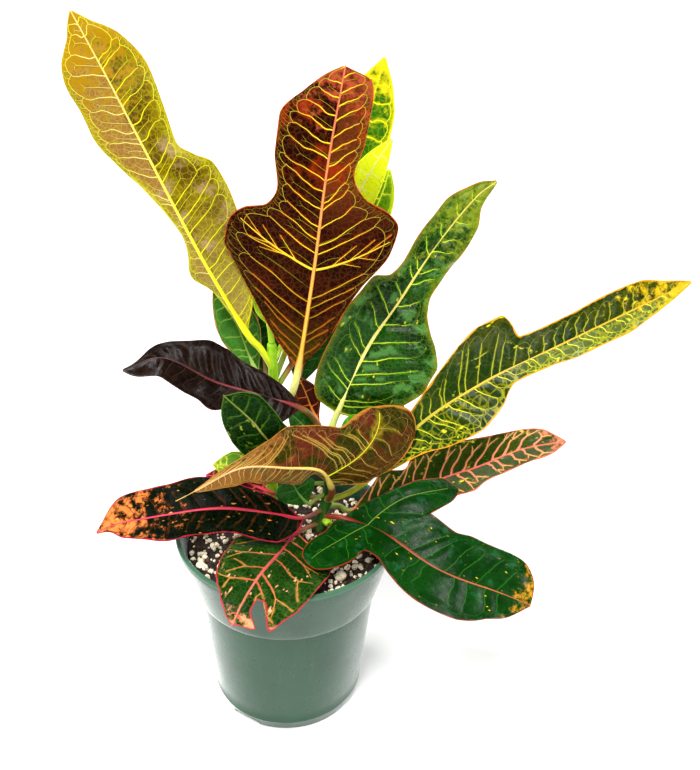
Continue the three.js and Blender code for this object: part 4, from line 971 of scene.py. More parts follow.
def blade_patches(shape, look, trees):
    """Both faces of the blade and the rounded edge between them."""
    row, out = blade_grid(shape)
    along, across, _ = shape.spread(row, out)
    flat = np.stack([along.ravel(), across.ravel()], -1)
    rib_gap = np.abs(across)
    gap = np.minimum(gaps_to(trees["cells"], flat).reshape(row.shape), rib_gap)
    middle, normal = shape.surface(row, out, gap, look)
    place = np.stack([across, along, 0 * along], -1) + look["shift"]
    traits = {
        "vein_gap": gaps_to(trees["veins"], flat),
        "edge_gap": gaps_to(trees["edge"], flat),
        "rib_gap": rib_gap.ravel(),
        "share": (along / shape.blade_length).ravel(),
        "side": out.ravel(),
        "reach": np.abs(out).ravel(),
    }
    upper = Patch(middle + normal * BLADE_HALF, grid_faces(*row.shape), 0, place, **traits)
    lower = Patch(middle - normal * BLADE_HALF, grid_faces(*row.shape, flip=True), 1, place, **traits)
    return [upper, lower, edge_patch(middle, normal, place, traits)]


def edge_patch(middle, normal, place, traits):
    """The rounded edge, once round the grid: left margin, tip, right margin and base."""
    grid = np.arange(middle[..., 0].size).reshape(middle.shape[:2])
    index = np.concatenate([grid[:, 0], grid[-1, 1:-1], grid[::-1, -1], grid[0, -2:0:-1]])
    border, sideways = middle.reshape(-1, 3)[index], normal.reshape(-1, 3)[index]
    onward = unit(np.roll(border, -1, 0) - np.roll(border, 1, 0))
    outermost = border + np.cross(sideways, onward) * EDGE_ROUND
    rings = np.stack([border + sideways * BLADE_HALF, outermost, border - sideways * BLADE_HALF])
    faces = grid_faces(3, len(index), wrap=True, flip=True)
    traits = {name: np.tile(values[index], 3) for name, values in traits.items()}
    return Patch(rings, faces, 0, np.tile(place.reshape(-1, 3)[index], (3, 1)), **traits)


def vein_patches(shape, look, vein):
    """A raised ribbon along a vein, on both faces of the blade."""
    path, start_width, end_width, rank = vein
    walked = walked_along(shape.flat(*path.T))
    count = max(3, math.ceil(walked[-1] / VEIN_STEP))
    row, out = sampled(np.linspace(0, walked[-1], count), walked, path).T
    along, across, _ = shape.spread(row, out)
    half = np.linspace(start_width, end_width, count)[:, None] / 2
    middle, normal = shape.surface(row, out, 0 * along, look)
    sideways = unit(np.cross(normal, unit(np.gradient(middle, axis=0)))) * half
    place = np.repeat(np.stack([across, along, 0 * along], -1) + look["shift"], 3, 0)
    traits = {"share": along / shape.blade_length, "side": out, "reach": np.abs(out)}
    traits = {name: np.repeat(values, 3) for name, values in traits.items()}
    patches = []
    for direction, crest in ((shape.outward, VEIN_CREST), (-shape.outward, VEIN_CREST_UNDER)):
        base = middle + normal * (direction * (BLADE_HALF + VEIN_SINK))
        points = np.stack([base - sideways, base + normal * (direction * crest * half), base + sideways], 1)
        faces = grid_faces(count, 3, flip=direction > 0)
        patches.append(Patch(points, faces, 2, place, vein_gap=rank, edge_gap=1.0, **traits))
    return patches


def rib_patch(shape, look):
    """The stalk, from inside its stem, and the midrib that it goes on into, up to the tip."""
    count = math.ceil(shape.total / RIB_STEP)
    along = np.linspace(0, shape.total, count) - shape.stalk_length
    centre, _, up, right = shape.axes(along)
    share = along / shape.blade_length
    in_blade = smoothstep(along / RIB_START)
    foot = np.clip(1 - (along + shape.stalk_length) / STALK_FOOT, 0, 1) ** 2
    stalk = look["stalk_radius"] * MM * (1 + FOOT_SWELL * foot)
    rib = look["rib_width"] * MM * (1 - RIB_TAPER * np.clip(share, 0, 1) ** 0.8)
    heights = (RIB_LOW * rib + BLADE_HALF, RIB_HIGH * rib + BLADE_HALF)[:: shape.outward]
    sizes = [stalk * (1 - in_blade) + size * in_blade for size in (rib, *heights)]
    rise = shape.relief(along, 0 * along, 0 * along, look) * np.clip(share, 0, 1)
    rings = ring_tube(centre + up * rise[:, None], right, up, *sizes, RIB_SIDES)
    cosines, sines = np.cos(turn_angles(RIB_SIDES)), np.sin(turn_angles(RIB_SIDES))
    place = np.stack(np.broadcast_arrays(cosines * MM, along[:, None], sines * MM), -1) + look["shift"]
    faces = grid_faces(count, RIB_SIDES, wrap=True, flip=True)
    share = np.repeat(np.where(along < 0, along / shape.stalk_length, share), RIB_SIDES)
    return Patch(rings, faces, 3, place, share=share, reach=np.tile(np.abs(cosines), count), edge_gap=1.0)


def make_leaf(sheet, look, materials):
    shape = LeafShape(sheet)
    veins = vein_network(sheet, shape, look)
    lines = [(rank, shape.flat(*path.T)) for path, _, _, rank in veins]
    rows = np.linspace(0, shape.last_row, EDGE_SAMPLES)
    trees = {
        "veins": gap_tree(dense_lines([line for rank, line in lines if rank < ARCH])),
        "cells": gap_tree(dense_lines([line for rank, line in lines if rank < FINE])),
        "edge": gap_tree(np.vstack([shape.flat(rows, side) for side in (-1, 1)])),
    }
    patches = blade_patches(shape, look, trees)
    for vein in veins:
        patches += vein_patches(shape, look, vein)
    patches.append(rib_patch(shape, look))
    return joined(sheet["name"] + "_live", patches, materials)


# Materials
def colour(text):
    """Linear colour from its usual six-digit form."""
    parts = [int(text[i : i + 2], 16) / 255 for i in (1, 3, 5)]
    return (*[p / 12.92 if p <= 0.04045 else ((p + 0.055) / 1.055) ** 2.4 for p in parts], 1)


class Graph:
    """A material and short calls that add nodes to it. A text given to a socket is a colour."""

    def __init__(self, name):
        self.material = bpy.data.materials.new(name)
        self.material.use_nodes = True
        self.tree = self.material.node_tree
        self.tree.nodes.clear()
        self.traits = {}

    def node(self, kind, settings=(), inputs=()):
        node = self.tree.nodes.new(kind)
        for name, value in dict(settings).items():
            setattr(node, name, value)
        for name, value in dict(inputs).items():
            self.put(node.inputs[name], value)
        return node

    def put(self, socket, value):
        if isinstance(value, bpy.types.NodeSocket):
            self.tree.links.new(value, socket)
        else:
            socket.default_value = colour(value) if isinstance(value, str) else value

    def own_place(self):
        """Where a point is on its object, in metres."""
        return self.node("ShaderNodeTexCoord").outputs["Object"]

    def trait(self, name, output="Fac"):
        """What the mesh says at each point under this name."""
        if name not in self.traits:
            self.traits[name] = self.node("ShaderNodeAttribute", {"attribute_name": name}).outputs[output]
        return self.traits[name]

    def math(self, operation, a, b=0.0, clamp=False):
        settings = {"operation": operation, "use_clamp": clamp}
        return self.node("ShaderNodeMath", settings, {0: a, 1: b}).outputs[0]

    def ease(self, value, low, high, at_low=0.0, at_high=1.0):
        """at_low below low, at_high above high, and a soft step between."""
        inputs = {"Value": value, "From Min": low, "From Max": high, "To Min": at_low, "To Max": at_high}
        settings = {"interpolation_type": "SMOOTHSTEP"}
        return self.node("ShaderNodeMapRange", settings, inputs).outputs["Result"]

    def blend(self, factor, a, b, kind="MIX"):
        settings = {"data_type": "RGBA", "blend_type": kind}
        return self.node("ShaderNodeMix", settings, {0: factor, 6: a, 7: b}).outputs[2]

    def tinted(self, shown, red, green, blue):
        return self.blend(1.0, shown, (red, green, blue, 1), "MULTIPLY")

    def noise(self, place, size, detail=2.0, rough=0.5, output="Fac"):
        inputs = {"Vector": place, "Scale": 1 / size, "Detail": detail, "Roughness": rough}
        return self.node("ShaderNodeTexNoise", {}, inputs).outputs[output]

    def stretched(self, place, scale):
        return self.node("ShaderNodeMapping", {}, {"Vector": place, "Scale": scale}).outputs[0]

    def bump(self, height, depth, strength=1.0, normal=None):
        inputs = {"Height": height, "Distance": depth, "Strength": strength}
        if normal is not None:
            inputs["Normal"] = normal
        return self.node("ShaderNodeBump", {}, inputs).outputs[0]

    def surface(self, shown, roughness, normal=None, glow=0.0, glow_colour=None, shine=0.5, sheen=0.0):
        inputs = {"Base Color": shown, "Roughness": roughness, "Specular IOR Level": shine,
            "Sheen Weight": sheen, "Sheen Roughness": 0.3}
        if normal is not None:
            inputs["Normal"] = normal
        shader = self.node("ShaderNodeBsdfPrincipled", {}, inputs).outputs[0]
        if glow:
            through = self.node("ShaderNodeBsdfTranslucent", {}, {"Color": glow_colour}).outputs[0]
            shader = self.node("ShaderNodeMixShader", {}, {0: glow, 1: shader, 2: through}).outputs[0]
        self.node("ShaderNodeOutputMaterial", {}, {"Surface": shader})
        return self.material


def toned(g, shown, look, key, factor):
    """The look's colour of that name laid over what is shown, if it has one."""
    return g.blend(factor, shown, look[key]) if look[key] else shown


def other_grounds(g, place, look, patch, shown):
    """The seen face's grounds on its halves, near its base and at its margin, and its clouds. Clouds kept
    between the veins are a painted highlight, and on some leaves a half's ground is partly painted sheen.
    """
    share, edge_gap = g.trait("share"), g.trait("edge_gap")
    turned_side = g.math("ADD", g.trait("side"), g.math("MULTIPLY", g.math("SUBTRACT", patch, 0.5), 0.4))
    # On some leaves a half's ground is partly painted sheen, a lighter half where light falls.
    shown = toned(g, shown, look, "left_ground", g.ease(turned_side, -0.08, 0.04, 0.85, 0))
    upper = g.ease(share, look["right_from"], look["right_from"] + 0.15)
    right = g.math("MULTIPLY", upper, g.ease(turned_side, -0.04, 0.08, 0, 0.85))
    shown = toned(g, shown, look, "right_ground", right)
    shown = toned(g, shown, look, "base_ground", g.ease(share, 0.02, look["base_from"], 0.9, 0))
    cloud = g.noise(place, look["cloud_size"] * MM, 3, 0.6)
    clouded = g.ease(cloud, look["cloud_from"], look["cloud_from"] + 0.12, 0, look["cloud_amount"])
    first, last = look["cloud_span"]
    within = g.math("MULTIPLY", g.ease(share, first, first + 0.1), g.ease(share, last, last + 0.1, 1, 0))
    # Clouds kept between the veins are a painted highlight on the blade's quilted swells.
    if look["cloud_cell"]:
        nearest = g.math("MINIMUM", g.trait("vein_gap"), g.trait("rib_gap"))
        within = g.math("MULTIPLY", within, g.ease(nearest, 0.3 * MM, look["cloud_cell"] * MM))
    shown = toned(g, shown, look, "cloud", g.math("MULTIPLY", clouded, within))
    ragged = g.math("ADD", edge_gap, g.math("MULTIPLY", g.noise(place, 3 * MM, 2), 3 * MM))
    at_edge = g.ease(ragged, 1.5 * MM, look["edge_reach"] * MM, look["edge_amount"], 0)
    return toned(g, shown, look, "edge_ground", at_edge)


def leaf_net(g, place, look):
    """The finest veins: thin lines round small cells, clearer near the margin."""
    shift = g.noise(place, 4 * MM, output="Color")
    inputs = {0: shift, 1: (1.6 * MM,) * 3, 2: place}
    swayed = g.node("ShaderNodeVectorMath", {"operation": "MULTIPLY_ADD"}, inputs).outputs[0]
    inputs = {"Vector": swayed, "Scale": 1 / (look["net_size"] * MM)}
    cells = g.node("ShaderNodeTexVoronoi", {"feature": "DISTANCE_TO_EDGE"}, inputs).outputs["Distance"]
    near_edge = g.ease(g.trait("edge_gap"), 0, look["net_edge"] * MM, 1, 0.45)
    return g.math("MULTIPLY", g.ease(cells, 0.03, 0.12, 1, 0), near_edge)


def grained(g, place, shown):
    """Fine lighter mottles and darker grain over a blade."""
    mottle = g.noise(place, 0.9 * MM, 3, 0.7)
    shown = g.blend(g.ease(mottle, 0.35, 0.8, 0.0, 0.14), shown, g.tinted(shown, 1.9, 1.9, 1.5))
    grain = g.noise(place, 0.7 * MM, 2, 0.7)
    return g.blend(g.ease(grain, 0.48, 0.7, 0.0, 0.6), shown, g.tinted(shown, 0.42, 0.38, 0.3))


def seen_marks(g, place, look, shown):
    """The seen face's stain along veins, flecks, tip colour and thin line at the margin."""
    nearest = g.math("MINIMUM", g.trait("vein_gap"), g.trait("rib_gap"))
    reach = g.noise(place, look["halo_spread"] * MM, 2.5, 0.6)
    reach = g.ease(reach, 0.35, 0.72, 0.0, look["halo_reach"] * MM)
    halo = g.ease(g.math("SUBTRACT", nearest, reach), -0.1 * MM, 0.6 * MM, look["halo_amount"], 0)
    shown = g.blend(halo, shown, look["halo"])
    if look["fleck"]:
        fleck = g.noise(g.stretched(place, (1, 0.45, 1)), 1.7 * MM, 1.5, 0.5)
        fleck = g.ease(fleck, 0.7 - 0.1 * look["fleck_amount"], 0.76, 0, 1)
        sparse = g.ease(g.noise(place, 11 * MM, 1), 0.42, 0.6)
        shown = g.blend(g.math("MULTIPLY", fleck, sparse), shown, look["fleck"])
    if look["tip"]:
        torn = g.math("SUBTRACT", g.noise(place, 5 * MM, 4, 0.7), 0.5)
        ragged = g.math("ADD", g.trait("share"), g.math("MULTIPLY", torn, 3 * look["tip_soft"]))
        tip = g.ease(ragged, look["tip_from"], look["tip_from"] + 0.6 * look["tip_soft"], 0, 0.95)
        shown = g.blend(tip, shown, look["tip"])
    uneven = g.ease(g.noise(place, 6 * MM, 2), 0.3, 0.7, 0.5, 1.5)
    width = g.math("MULTIPLY", uneven, look["margin_width"] * MM)
    margin = g.ease(g.math("DIVIDE", g.trait("edge_gap"), width), 0.5, 1.2, 0.95, 0)
    return g.blend(margin, shown, look["margin"])


def blade_material(name, look, seen):
    """One face of a blade. The seen face has the full pattern and the other a paler, plainer one."""
    g = Graph(name)
    place = g.trait("leaf_place", "Vector")
    patch = g.noise(place, look["patch"] * MM, 3, 0.6)
    ground, second = ("ground", "second") if seen else ("back_ground", "back_second")
    shown = g.blend(g.ease(patch, 0.42, 0.6), look[ground], look[second])
    if seen:
        shown = other_grounds(g, place, look, patch, shown)
    net = leaf_net(g, place, look)
    amount = look["net_amount"] * (1 if seen else 0.6)
    amount = g.ease(g.trait("side"), -0.03, 0.03, amount * look["net_left"], amount)
    shown = g.blend(g.math("MULTIPLY", net, amount), shown, look["net" if seen else "back_vein"])
    shown = grained(g, place, shown)
    if seen:
        shown = seen_marks(g, place, look, shown)
    rough = look["gloss"] + (0 if seen else 0.15)
    rough = g.ease(g.noise(place, 2.5 * MM, 3, 0.6), 0.3, 0.7, rough - 0.04, rough + 0.1)
    fine = g.math("ADD", g.math("MULTIPLY", net, -0.6), g.noise(place, 0.5 * MM, 2, 0.6))
    normal = g.bump(fine, 0.05 * MM, 0.8, g.bump(g.noise(place, 4 * MM, 2, 0.5), 0.4 * MM, 0.7))
    return g.surface(shown, rough, normal, look["glow"], g.tinted(shown, 1.5, 1.5, 0.9), look["shine"])


def vein_material(name, look):
    """Side veins: paler outwards, and fainter with each rank, which the veins carry as vein_gap."""
    g = Graph(name)
    rank, side = g.trait("vein_gap"), g.trait("side")
    root = look["vein"]
    # On some leaves the left veins are paler partly as painted sheen.
    if look["vein_left"]:
        root = g.blend(g.ease(side, -0.02, 0.02), look["vein_left"], root)
    shown = g.blend(g.ease(g.trait("reach"), 0.2, 0.95), root, look["vein_end"])
    shown = toned(g, shown, look, "lobe_vein", g.ease(rank, LOBE, MAIN, 1, 0))
    faint = g.noise(g.trait("leaf_place", "Vector"), 5 * MM, 2)
    faint = g.ease(faint, 0.35, 0.6, 1 - look["vein_keep"], 0)
    faint = g.math("ADD", faint, g.math("MULTIPLY", rank, look["fade"]))
    faint = g.math("ADD", faint, g.ease(g.trait("share"), 0.15, 0.45, look["base_fade"], 0))
    faint = g.math("ADD", faint, g.ease(side, -0.02, 0.02, look["left_fade"], 0), clamp=True)
    faint = g.math("MULTIPLY", faint, g.ease(rank, LOBE, MAIN))
    shown = g.blend(faint, shown, look["ground"])
    return g.surface(shown, look["gloss"] + 0.08, None, look["glow"], shown, look["shine"])


def rib_material(name, look):
    """Stalk colours below the blade, where share runs from -1 up to 0, and the midrib's above."""
    g = Graph(name)
    share = g.trait("share")
    stalk = g.blend(g.ease(share, -0.95, -0.6), look["stalk_foot"], look["stalk"])
    rib = g.blend(g.ease(share, 0.05, 0.95), look["rib"], look["rib_tip"])
    rib = toned(g, rib, look, "rib_edge", g.ease(g.trait("reach"), 0.5, 0.85))
    shown = g.blend(g.ease(share, -0.12, 0.08), stalk, rib)
    streak = g.noise(g.stretched(g.trait("leaf_place", "Vector"), (1, 0.12, 1)), 0.5 * MM, 3, 0.6)
    shown = g.blend(g.ease(streak, 0.4, 0.7, 0, 0.55), shown, g.tinted(shown, 0.62, 0.6, 0.5))
    return g.surface(shown, 0.38, g.bump(streak, 0.12 * MM, 0.6), 0.06, shown, 0.3)


def leaf_materials(name, look):
    return [
        blade_material(name + "_upper", look, True),
        blade_material(name + "_lower", look, False),
        vein_material(name + "_vein", look),
        rib_material(name + "_rib", look),
    ]


# Pot
def corner(radius, height, steps):
    """A worn corner of the outline, from its steps in millimetres."""
    return [(radius + out * MM, height + up * MM) for out, up in steps]


def stretch(start, end, shares):
    """Spots on the straight line between two others, at some shares of it."""
    return [(start[0] + (end[0] - start[0]) * t, start[1] + (end[1] - start[1]) * t) for t in shares]


def pot_outline():
    """From the middle of the pot's base, up the outside, over the rim and down the inside."""
    wall_top = (WALL_TOP_RADIUS, LEDGE_HEIGHT - MM)
    wall_shares = np.linspace(WALL_FROM / wall_top[1], 1, WALL_STEPS)
    shoulder = (RIM_RADIUS - RIM_BEAD, POT_HEIGHT - BEAD_HEIGHT)
    return [
        (0, 0),
        *corner(BASE_RADIUS, 0, BASE_EDGE),
        *stretch((BASE_RADIUS, 0), wall_top, wall_shares),
        *corner(LEDGE_RADIUS, LEDGE_HEIGHT, LEDGE_EDGE),
        *stretch((LEDGE_RADIUS, LEDGE_HEIGHT), shoulder, np.linspace(BAND_FROM, 1, BAND_STEPS)),
        *corner(RIM_RADIUS, POT_HEIGHT, LIP_EDGE),
        (LEDGE_RADIUS - WALL, LEDGE_HEIGHT + MM),
        (WALL_TOP_RADIUS - WALL, LEDGE_HEIGHT - MM),
        (BASE_RADIUS - WALL, FLOOR),
        (0, FLOOR),
    ]


def make_pot(material):
    outline = pot_outline()
    faces = grid_faces(len(outline), POT_SIDES, wrap=True)
    pot = make_object("pot_shell", turned(outline, POT_SIDES), faces, [material])
    for i in range(NOTCHES):
        cut_notch(pot, NOTCH_TURN - math.pi / 2 + 2 * math.pi * i / NOTCHES)
    pot.data.set_sharp_from_angle(angle=math.radians(25))
    return pot


def cut_notch(pot, turn):
    """One shallow arched drain notch at the base's edge."""
    bpy.ops.mesh.primitive_cylinder_add(vertices=48, radius=NOTCH_WIDTH / 2, depth=2 * NOTCH_DEPTH)
    cutter = bpy.context.object
    squeeze = Matrix.Diagonal((1, NOTCH_HEIGHT / (NOTCH_WIDTH / 2), 1, 1))
    lay = Matrix.Rotation(math.pi / 2, 4, "X")
    move = Matrix.Translation((0, BASE_RADIUS, 0))
    cutter.matrix_world = Matrix.Rotation(turn, 4, "Z") @ move @ lay @ squeeze
    cut = pot.modifiers.new("notch", "BOOLEAN")
    cut.operation = "DIFFERENCE"
    cut.object = cutter
    bpy.context.view_layer.objects.active = pot
    bpy.ops.object.modifier_apply(modifier=cut.name)
    bpy.data.objects.remove(cutter)


def pot_material():
    """Satin moulded plastic: clouded green, fine moulding texture, scuffs and a few pale specks."""
    g = Graph("pot_plastic")
    place = g.own_place()
    height = g.node("ShaderNodeSeparateXYZ", {}, {0: place}).outputs["Z"]
    cloud = g.noise(place, 0.03, 3, 0.55)
    shown = g.blend(g.ease(cloud, 0.35, 0.65), "#143e27", "#19462e")
    drag = g.noise(g.stretched(place, (1, 1, 0.12)), 0.004, 4, 0.65)
    shown = g.blend(g.ease(drag, 0.55, 0.8, 0, 0.2), shown, "#4c705a")
    speck = g.noise(place, 0.0011, 2, 0.5)
    shown = g.blend(g.ease(speck, 0.75, 0.8, 0, 0.5), shown, "#9db8a6")
    dirt = g.ease(g.noise(place, 0.0024, 3, 0.6), 0.84, 0.89, 0, 0.6)
    upwards = g.ease(height, 0.0, POT_HEIGHT, 0.25, 1)
    shown = g.blend(g.math("MULTIPLY", dirt, upwards), shown, "#1b2f22")
    # A painted highlight: the lip's top is lighter, as where light catches the rolled rim.
    rim = g.ease(height, POT_HEIGHT - 2.6 * MM, POT_HEIGHT - 1.6 * MM, 0, 0.35)
    shown = g.blend(rim, shown, "#5c846c")
    rough = g.ease(g.noise(place, 0.012, 4, 0.7), 0.3, 0.7, 0.24, 0.36)
    wave = g.bump(g.noise(place, 0.014, 2, 0.5), 0.0004, 0.4)
    normal = g.bump(g.noise(place, 0.0005, 2, 0.6), 0.00006, 0.5, wave)
    return g.surface(shown, rough, normal, shine=0.42, sheen=0.75)


# Soil
def stem_clear(x, y):
    """How far a spot on the soil is from the nearest stem's skin."""
    gaps = []
    for stem in STEMS.values():
        at = stem["path"][1]
        gaps.append(math.hypot(x - at[0] * MM, y - at[1] * MM) - stem["radius"][0] * MM)
    return min(gaps)


def soil_height(x, y):
    swell = noise.noise(Vector((x, y, 0)) / SWELL_WIDTH)
    lumps = noise.fractal(Vector((x, y, 0.01)) / LUMP_WIDTH, 0.8, 2.1, 4)
    return SOIL_TOP + SWELL_HEIGHT * swell + LUMP_HEIGHT * lumps


def make_soil(material):
    """The soil's crumbly top on a plug that fills the pot, in rings from the bottom up and inwards."""
    rings = math.ceil(SOIL_RADIUS / SOIL_STEP)
    plug = [
        (BASE_RADIUS - PLUG_INSET, FLOOR + PLUG_LIFT),
        (WALL_TOP_RADIUS - PLUG_INSET, LEDGE_HEIGHT - MM),
        (LEDGE_RADIUS - PLUG_INSET, LEDGE_HEIGHT + 3 * MM),
        (SOIL_RADIUS, SOIL_TOP - 3 * MM),
    ]
    top = [(SOIL_RADIUS * r / rings, SOIL_TOP) for r in range(rings, 0, -1)]
    points = turned(plug, SOIL_SIDES)
    points += [(x, y, soil_height(x, y)) for x, y, _ in turned(top, SOIL_SIDES)]
    middle = len(points)
    last = middle - SOIL_SIDES
    points.append((0, 0, soil_height(0, 0)))
    faces = grid_faces(len(plug) + rings, SOIL_SIDES, wrap=True)
    faces += [(last + t, last + (t + 1) % SOIL_SIDES, middle) for t in range(SOIL_SIDES)]
    faces.append(tuple(reversed(range(SOIL_SIDES))))
    return make_object("soil_bed", points, faces, [material])


def lump(centre, size, squash, draw, corners):
    """Points and faces of one broken-edged grain: the hull round a few scattered points."""
    angle = draw.uniform(0, 2 * math.pi)
    turn = Matrix.Rotation(angle, 3, Vector([draw.uniform(-1, 1) for _ in range(3)]).normalized())
    shell = bmesh.new()
    for _ in range(corners):
        spot = Vector([draw.gauss(0, 1) for _ in range(3)]).normalized() * draw.uniform(*GRAIN_ROUND) * size
        shell.verts.new(turn @ Vector((spot.x, spot.y * squash[0], spot.z * squash[1])) + centre)
    hull = bmesh.ops.convex_hull(shell, input=shell.verts)
    bmesh.ops.delete(shell, geom=hull["geom_interior"], context="VERTS")
    shell.verts.index_update()
    points = [v.co.copy() for v in shell.verts]
    faces = [tuple(v.index for v in face.verts) for face in shell.faces]
    shell.free()
    return points, faces


def scattered(name, grains, material):
    """Grains strewn over the soil, each partly sunk, clear of the stems and the wall."""
    draw = random.Random(grains["seed"])
    smallest, largest = grains["sizes"]
    points, faces = [], []
    for _ in range(grains["count"]):
        radius = SOIL_RADIUS * math.sqrt(draw.random())
        angle = draw.uniform(0, 2 * math.pi)
        size = smallest + (largest - smallest) * draw.random() ** MOSTLY_SMALL
        x, y = radius * math.cos(angle), radius * math.sin(angle)
        if radius + size > SOIL_RADIUS or stem_clear(x, y) < STEM_ROOM * size:
            continue
        squash = [draw.uniform(*grains["squash"]), draw.uniform(*grains["squash"])]
        centre = Vector((x, y, soil_height(x, y) + size * grains["lift"]))
        made, sides = lump(centre, size, squash, draw, grains["corners"])
        faces += [tuple(i + len(points) for i in side) for side in sides]
        points += made
    piece = make_object(name, points, faces, [material])
    piece.data.set_sharp_from_angle(angle=math.radians(32))
    return piece


def soil_material():
    g = Graph("peat")
    place = g.own_place()
    fleck = g.noise(place, 0.0016, 4, 0.7)
    shown = g.blend(g.ease(fleck, 0.4, 0.7), "#120b07", "#3a2618")
    grain = g.noise(place, 0.0008, 3, 0.7)
    return g.surface(shown, 0.9, g.bump(grain, 0.0006, 1.0))


def crumb_material():
    """Peat and bark: each crumb its own brown."""
    g = Graph("bark_crumbs")
    place = g.own_place()
    own = g.noise(place, 0.0035, 1)
    shown = g.blend(g.ease(own, 0.35, 0.62), "#150c08", "#56361c")
    grain = g.noise(g.stretched(place, (1, 0.3, 1)), 0.0005, 3, 0.7)
    shown = g.blend(g.ease(grain, 0.5, 0.8, 0, 0.5), shown, "#7a5a3a")
    return g.surface(shown, 0.85, g.bump(grain, 0.0003, 1.0))


def perlite_material():
    """Chalky cream grains, stained here and there by the peat."""
    g = Graph("perlite")
    place = g.own_place()
    stain = g.noise(place, 0.0028, 3, 0.6)
    shown = g.blend(g.ease(stain, 0.5, 0.72), "#fff2d6", "#c49a58")
    pore = g.noise(place, 0.0005, 3, 0.7)
    shown = g.blend(g.ease(pore, 0.62, 0.78, 0, 0.5), shown, "#8a7656")
    return g.surface(shown, 0.9, g.bump(pore, 0.0003, 1.0))


# Stems
def make_stem(name, stem, material):
    """A stem with swollen joints where leaves grow or grew, and a closed top."""
    line = smooth_curve(np.array(stem["path"], float) * MM)
    walked = walked_along(line)
    along = np.linspace(0, walked[-1], STEM_RINGS)
    centre = sampled(along, walked, line)
    forward = unit(np.gradient(centre, axis=0))
    up = unit(np.array([0, -1.0, 0]) + forward * forward[:, 1:2])
    right = np.cross(forward, up)
    foot, top = stem["radius"]
    joints = np.clip(np.cos(along / JOINT_SPACING * 2 * math.pi), 0, 1) ** 6
    radius = (foot + (top - foot) * along / walked[-1]) * MM * (1 + JOINT_SWELL * joints)
    radius = radius * dome(1 - (walked[-1] - along) / STEM_END)
    rings = ring_tube(centre, right, up, radius, radius, radius, STEM_SIDES)
    turns = 3 * turn_angles(STEM_SIDES) + along[:, None] / JOINT_TURN
    swell = 1 + JOINT_LUMPS * np.sin(turns) * joints[:, None]
    rings = centre[:, None] + (rings - centre[:, None]) * swell[..., None]
    return capped_tube(name, rings, material)


def make_bud(material):
    """The blunt resting bud low on the front stem."""
    share = np.linspace(0, 1, BUD_RINGS)
    centre = BUD_FOOT + (BUD_TIP - BUD_FOOT) * share[:, None]
    forward = unit(np.gradient(centre, axis=0))
    right = unit(np.cross(forward, [0, 0, 1.0]))
    radius = BUD_RADIUS * dome((share - 0.55) / 0.46)
    rings = ring_tube(centre, right, np.cross(right, forward), radius, 0.85 * radius, radius, BUD_SIDES)
    return capped_tube("stem_bud", rings, material)


def stem_material(name, skin, streak, scar):
    g = Graph(name)
    place = g.own_place()
    lines = g.noise(g.stretched(place, (1, 1, 0.15)), 0.0012, 3, 0.6)
    shown = g.blend(g.ease(lines, 0.4, 0.7), skin, streak)
    patch = g.noise(place, 0.006, 3, 0.6)
    shown = g.blend(g.ease(patch, 0.58, 0.7, 0, 0.8), shown, scar)
    return g.surface(shown, 0.45, g.bump(lines, 0.0003, 0.7), 0.05, shown, 0.1)


# Light, floor and camera
def make_camera():
    camera = bpy.data.objects.new("camera", bpy.data.cameras.new("camera"))
    camera.data.lens = CAMERA_LENS
    camera.data.sensor_width = SENSOR_WIDTH
    forward = Vector((0, math.cos(CAMERA_ELEVATION), -math.sin(CAMERA_ELEVATION)))
    up = Vector((0, math.sin(CAMERA_ELEVATION), math.cos(CAMERA_ELEVATION)))
    side = Vector((1, 0, 0))
    right = side * math.cos(CAMERA_ROLL) - up * math.sin(CAMERA_ROLL)
    top = side * math.sin(CAMERA_ROLL) + up * math.cos(CAMERA_ROLL)
    turn = Matrix((right, top, -forward)).transposed()
    camera.matrix_world = Matrix.Translation(CAMERA_TARGET - forward * CAMERA_DISTANCE) @ turn.to_4x4()
    bpy.context.scene.collection.objects.link(camera)
    bpy.context.scene.camera = camera


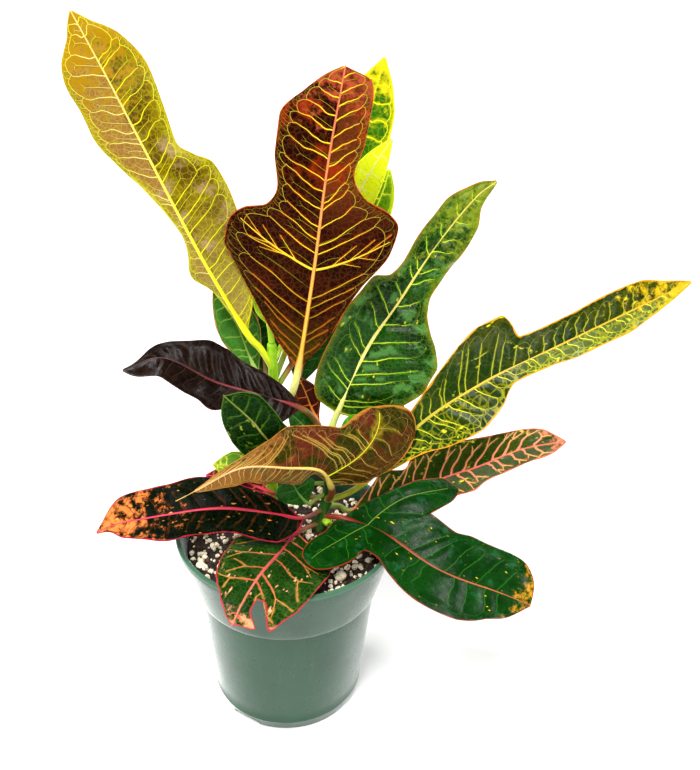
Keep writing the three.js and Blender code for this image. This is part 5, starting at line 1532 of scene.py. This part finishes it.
def make_sun(name, azimuth, elevation, strength, spread):
    """A large soft light far away."""
    light = bpy.data.lights.new(name, "SUN")
    light.energy = strength
    light.angle = math.radians(spread)
    sun = bpy.data.objects.new(name, light)
    a, e = math.radians(azimuth), math.radians(elevation)
    towards = Vector((math.sin(a) * math.cos(e), -math.cos(a) * math.cos(e), math.sin(e)))
    sun.rotation_mode = "QUATERNION"
    sun.rotation_quaternion = towards.to_track_quat("Z", "Y")
    bpy.context.scene.collection.objects.link(sun)


def make_surroundings():
    bpy.context.scene.view_settings.view_transform = "Standard"
    world = bpy.data.worlds.new("studio")
    bpy.context.scene.world = world
    world.use_nodes = True
    backdrop = world.node_tree.nodes["Background"]
    backdrop.inputs["Color"].default_value = (1, 1, 1, 1)
    backdrop.inputs["Strength"].default_value = WORLD_STRENGTH
    for name, light in SUNS.items():
        make_sun(name, *light)
    white = Graph("floor_white").surface("#dcdcdb", 0.9)
    corners = [(x * FLOOR_HALF, y * FLOOR_HALF, 0) for x, y in ((-1, -1), (1, -1), (1, 1), (-1, 1))]
    floor = make_object("floor", corners, [(0, 1, 2, 3)], [white])


def dress(piece, slot, *nodes):
    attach(piece, "root")
    if nodes:
        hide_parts(*nodes)


def main():
    make_camera()
    make_surroundings()
    dress(make_pot(pot_material()), "pot_plastic", "pot")
    dress(make_soil(soil_material()), "potting_soil", "soil")
    perlite = perlite_material()
    dress(scattered("bark_crumbs", CRUMBS, crumb_material()), "potting_soil")
    dress(scattered("perlite_grains", PERLITE, perlite), "potting_soil")
    big_grain = lump(LUMP_PLACE, LUMP_SIZE, LUMP_SQUASH, random.Random(LUMP_SEED), LUMP_CORNERS)
    dress(make_object("perlite_lump", *big_grain, [perlite]), "potting_soil")
    dress(make_bud(stem_material("bud_green", "#94c42c", "#b4d83c", "#6f8f24")), "stem_bright")
    front_skin = stem_material("stem_green", "#24501a", "#3a6a24", "#5a6a34")
    back_skin = stem_material("stem_bright", "#7fb41c", "#9acc24", "#b0c83c")
    dress(make_stem("stem_front_live", STEMS["stem_front"], front_skin), "stem_green", "stem_front")
    dress(make_stem("stem_back_live", STEMS["stem_back"], back_skin), "stem_bright", "stem_back")
    for number, sheet in enumerate(LEAVES + OVAL_LEAVES):
        name = sheet["name"]
        look = {**PLAIN_LOOK, **LOOKS[name], "shift": np.array([0, 0, LEAF_SHIFT * number])}
        dress(make_leaf(sheet, look, leaf_materials(name, look)), look["slot"], name)


main()
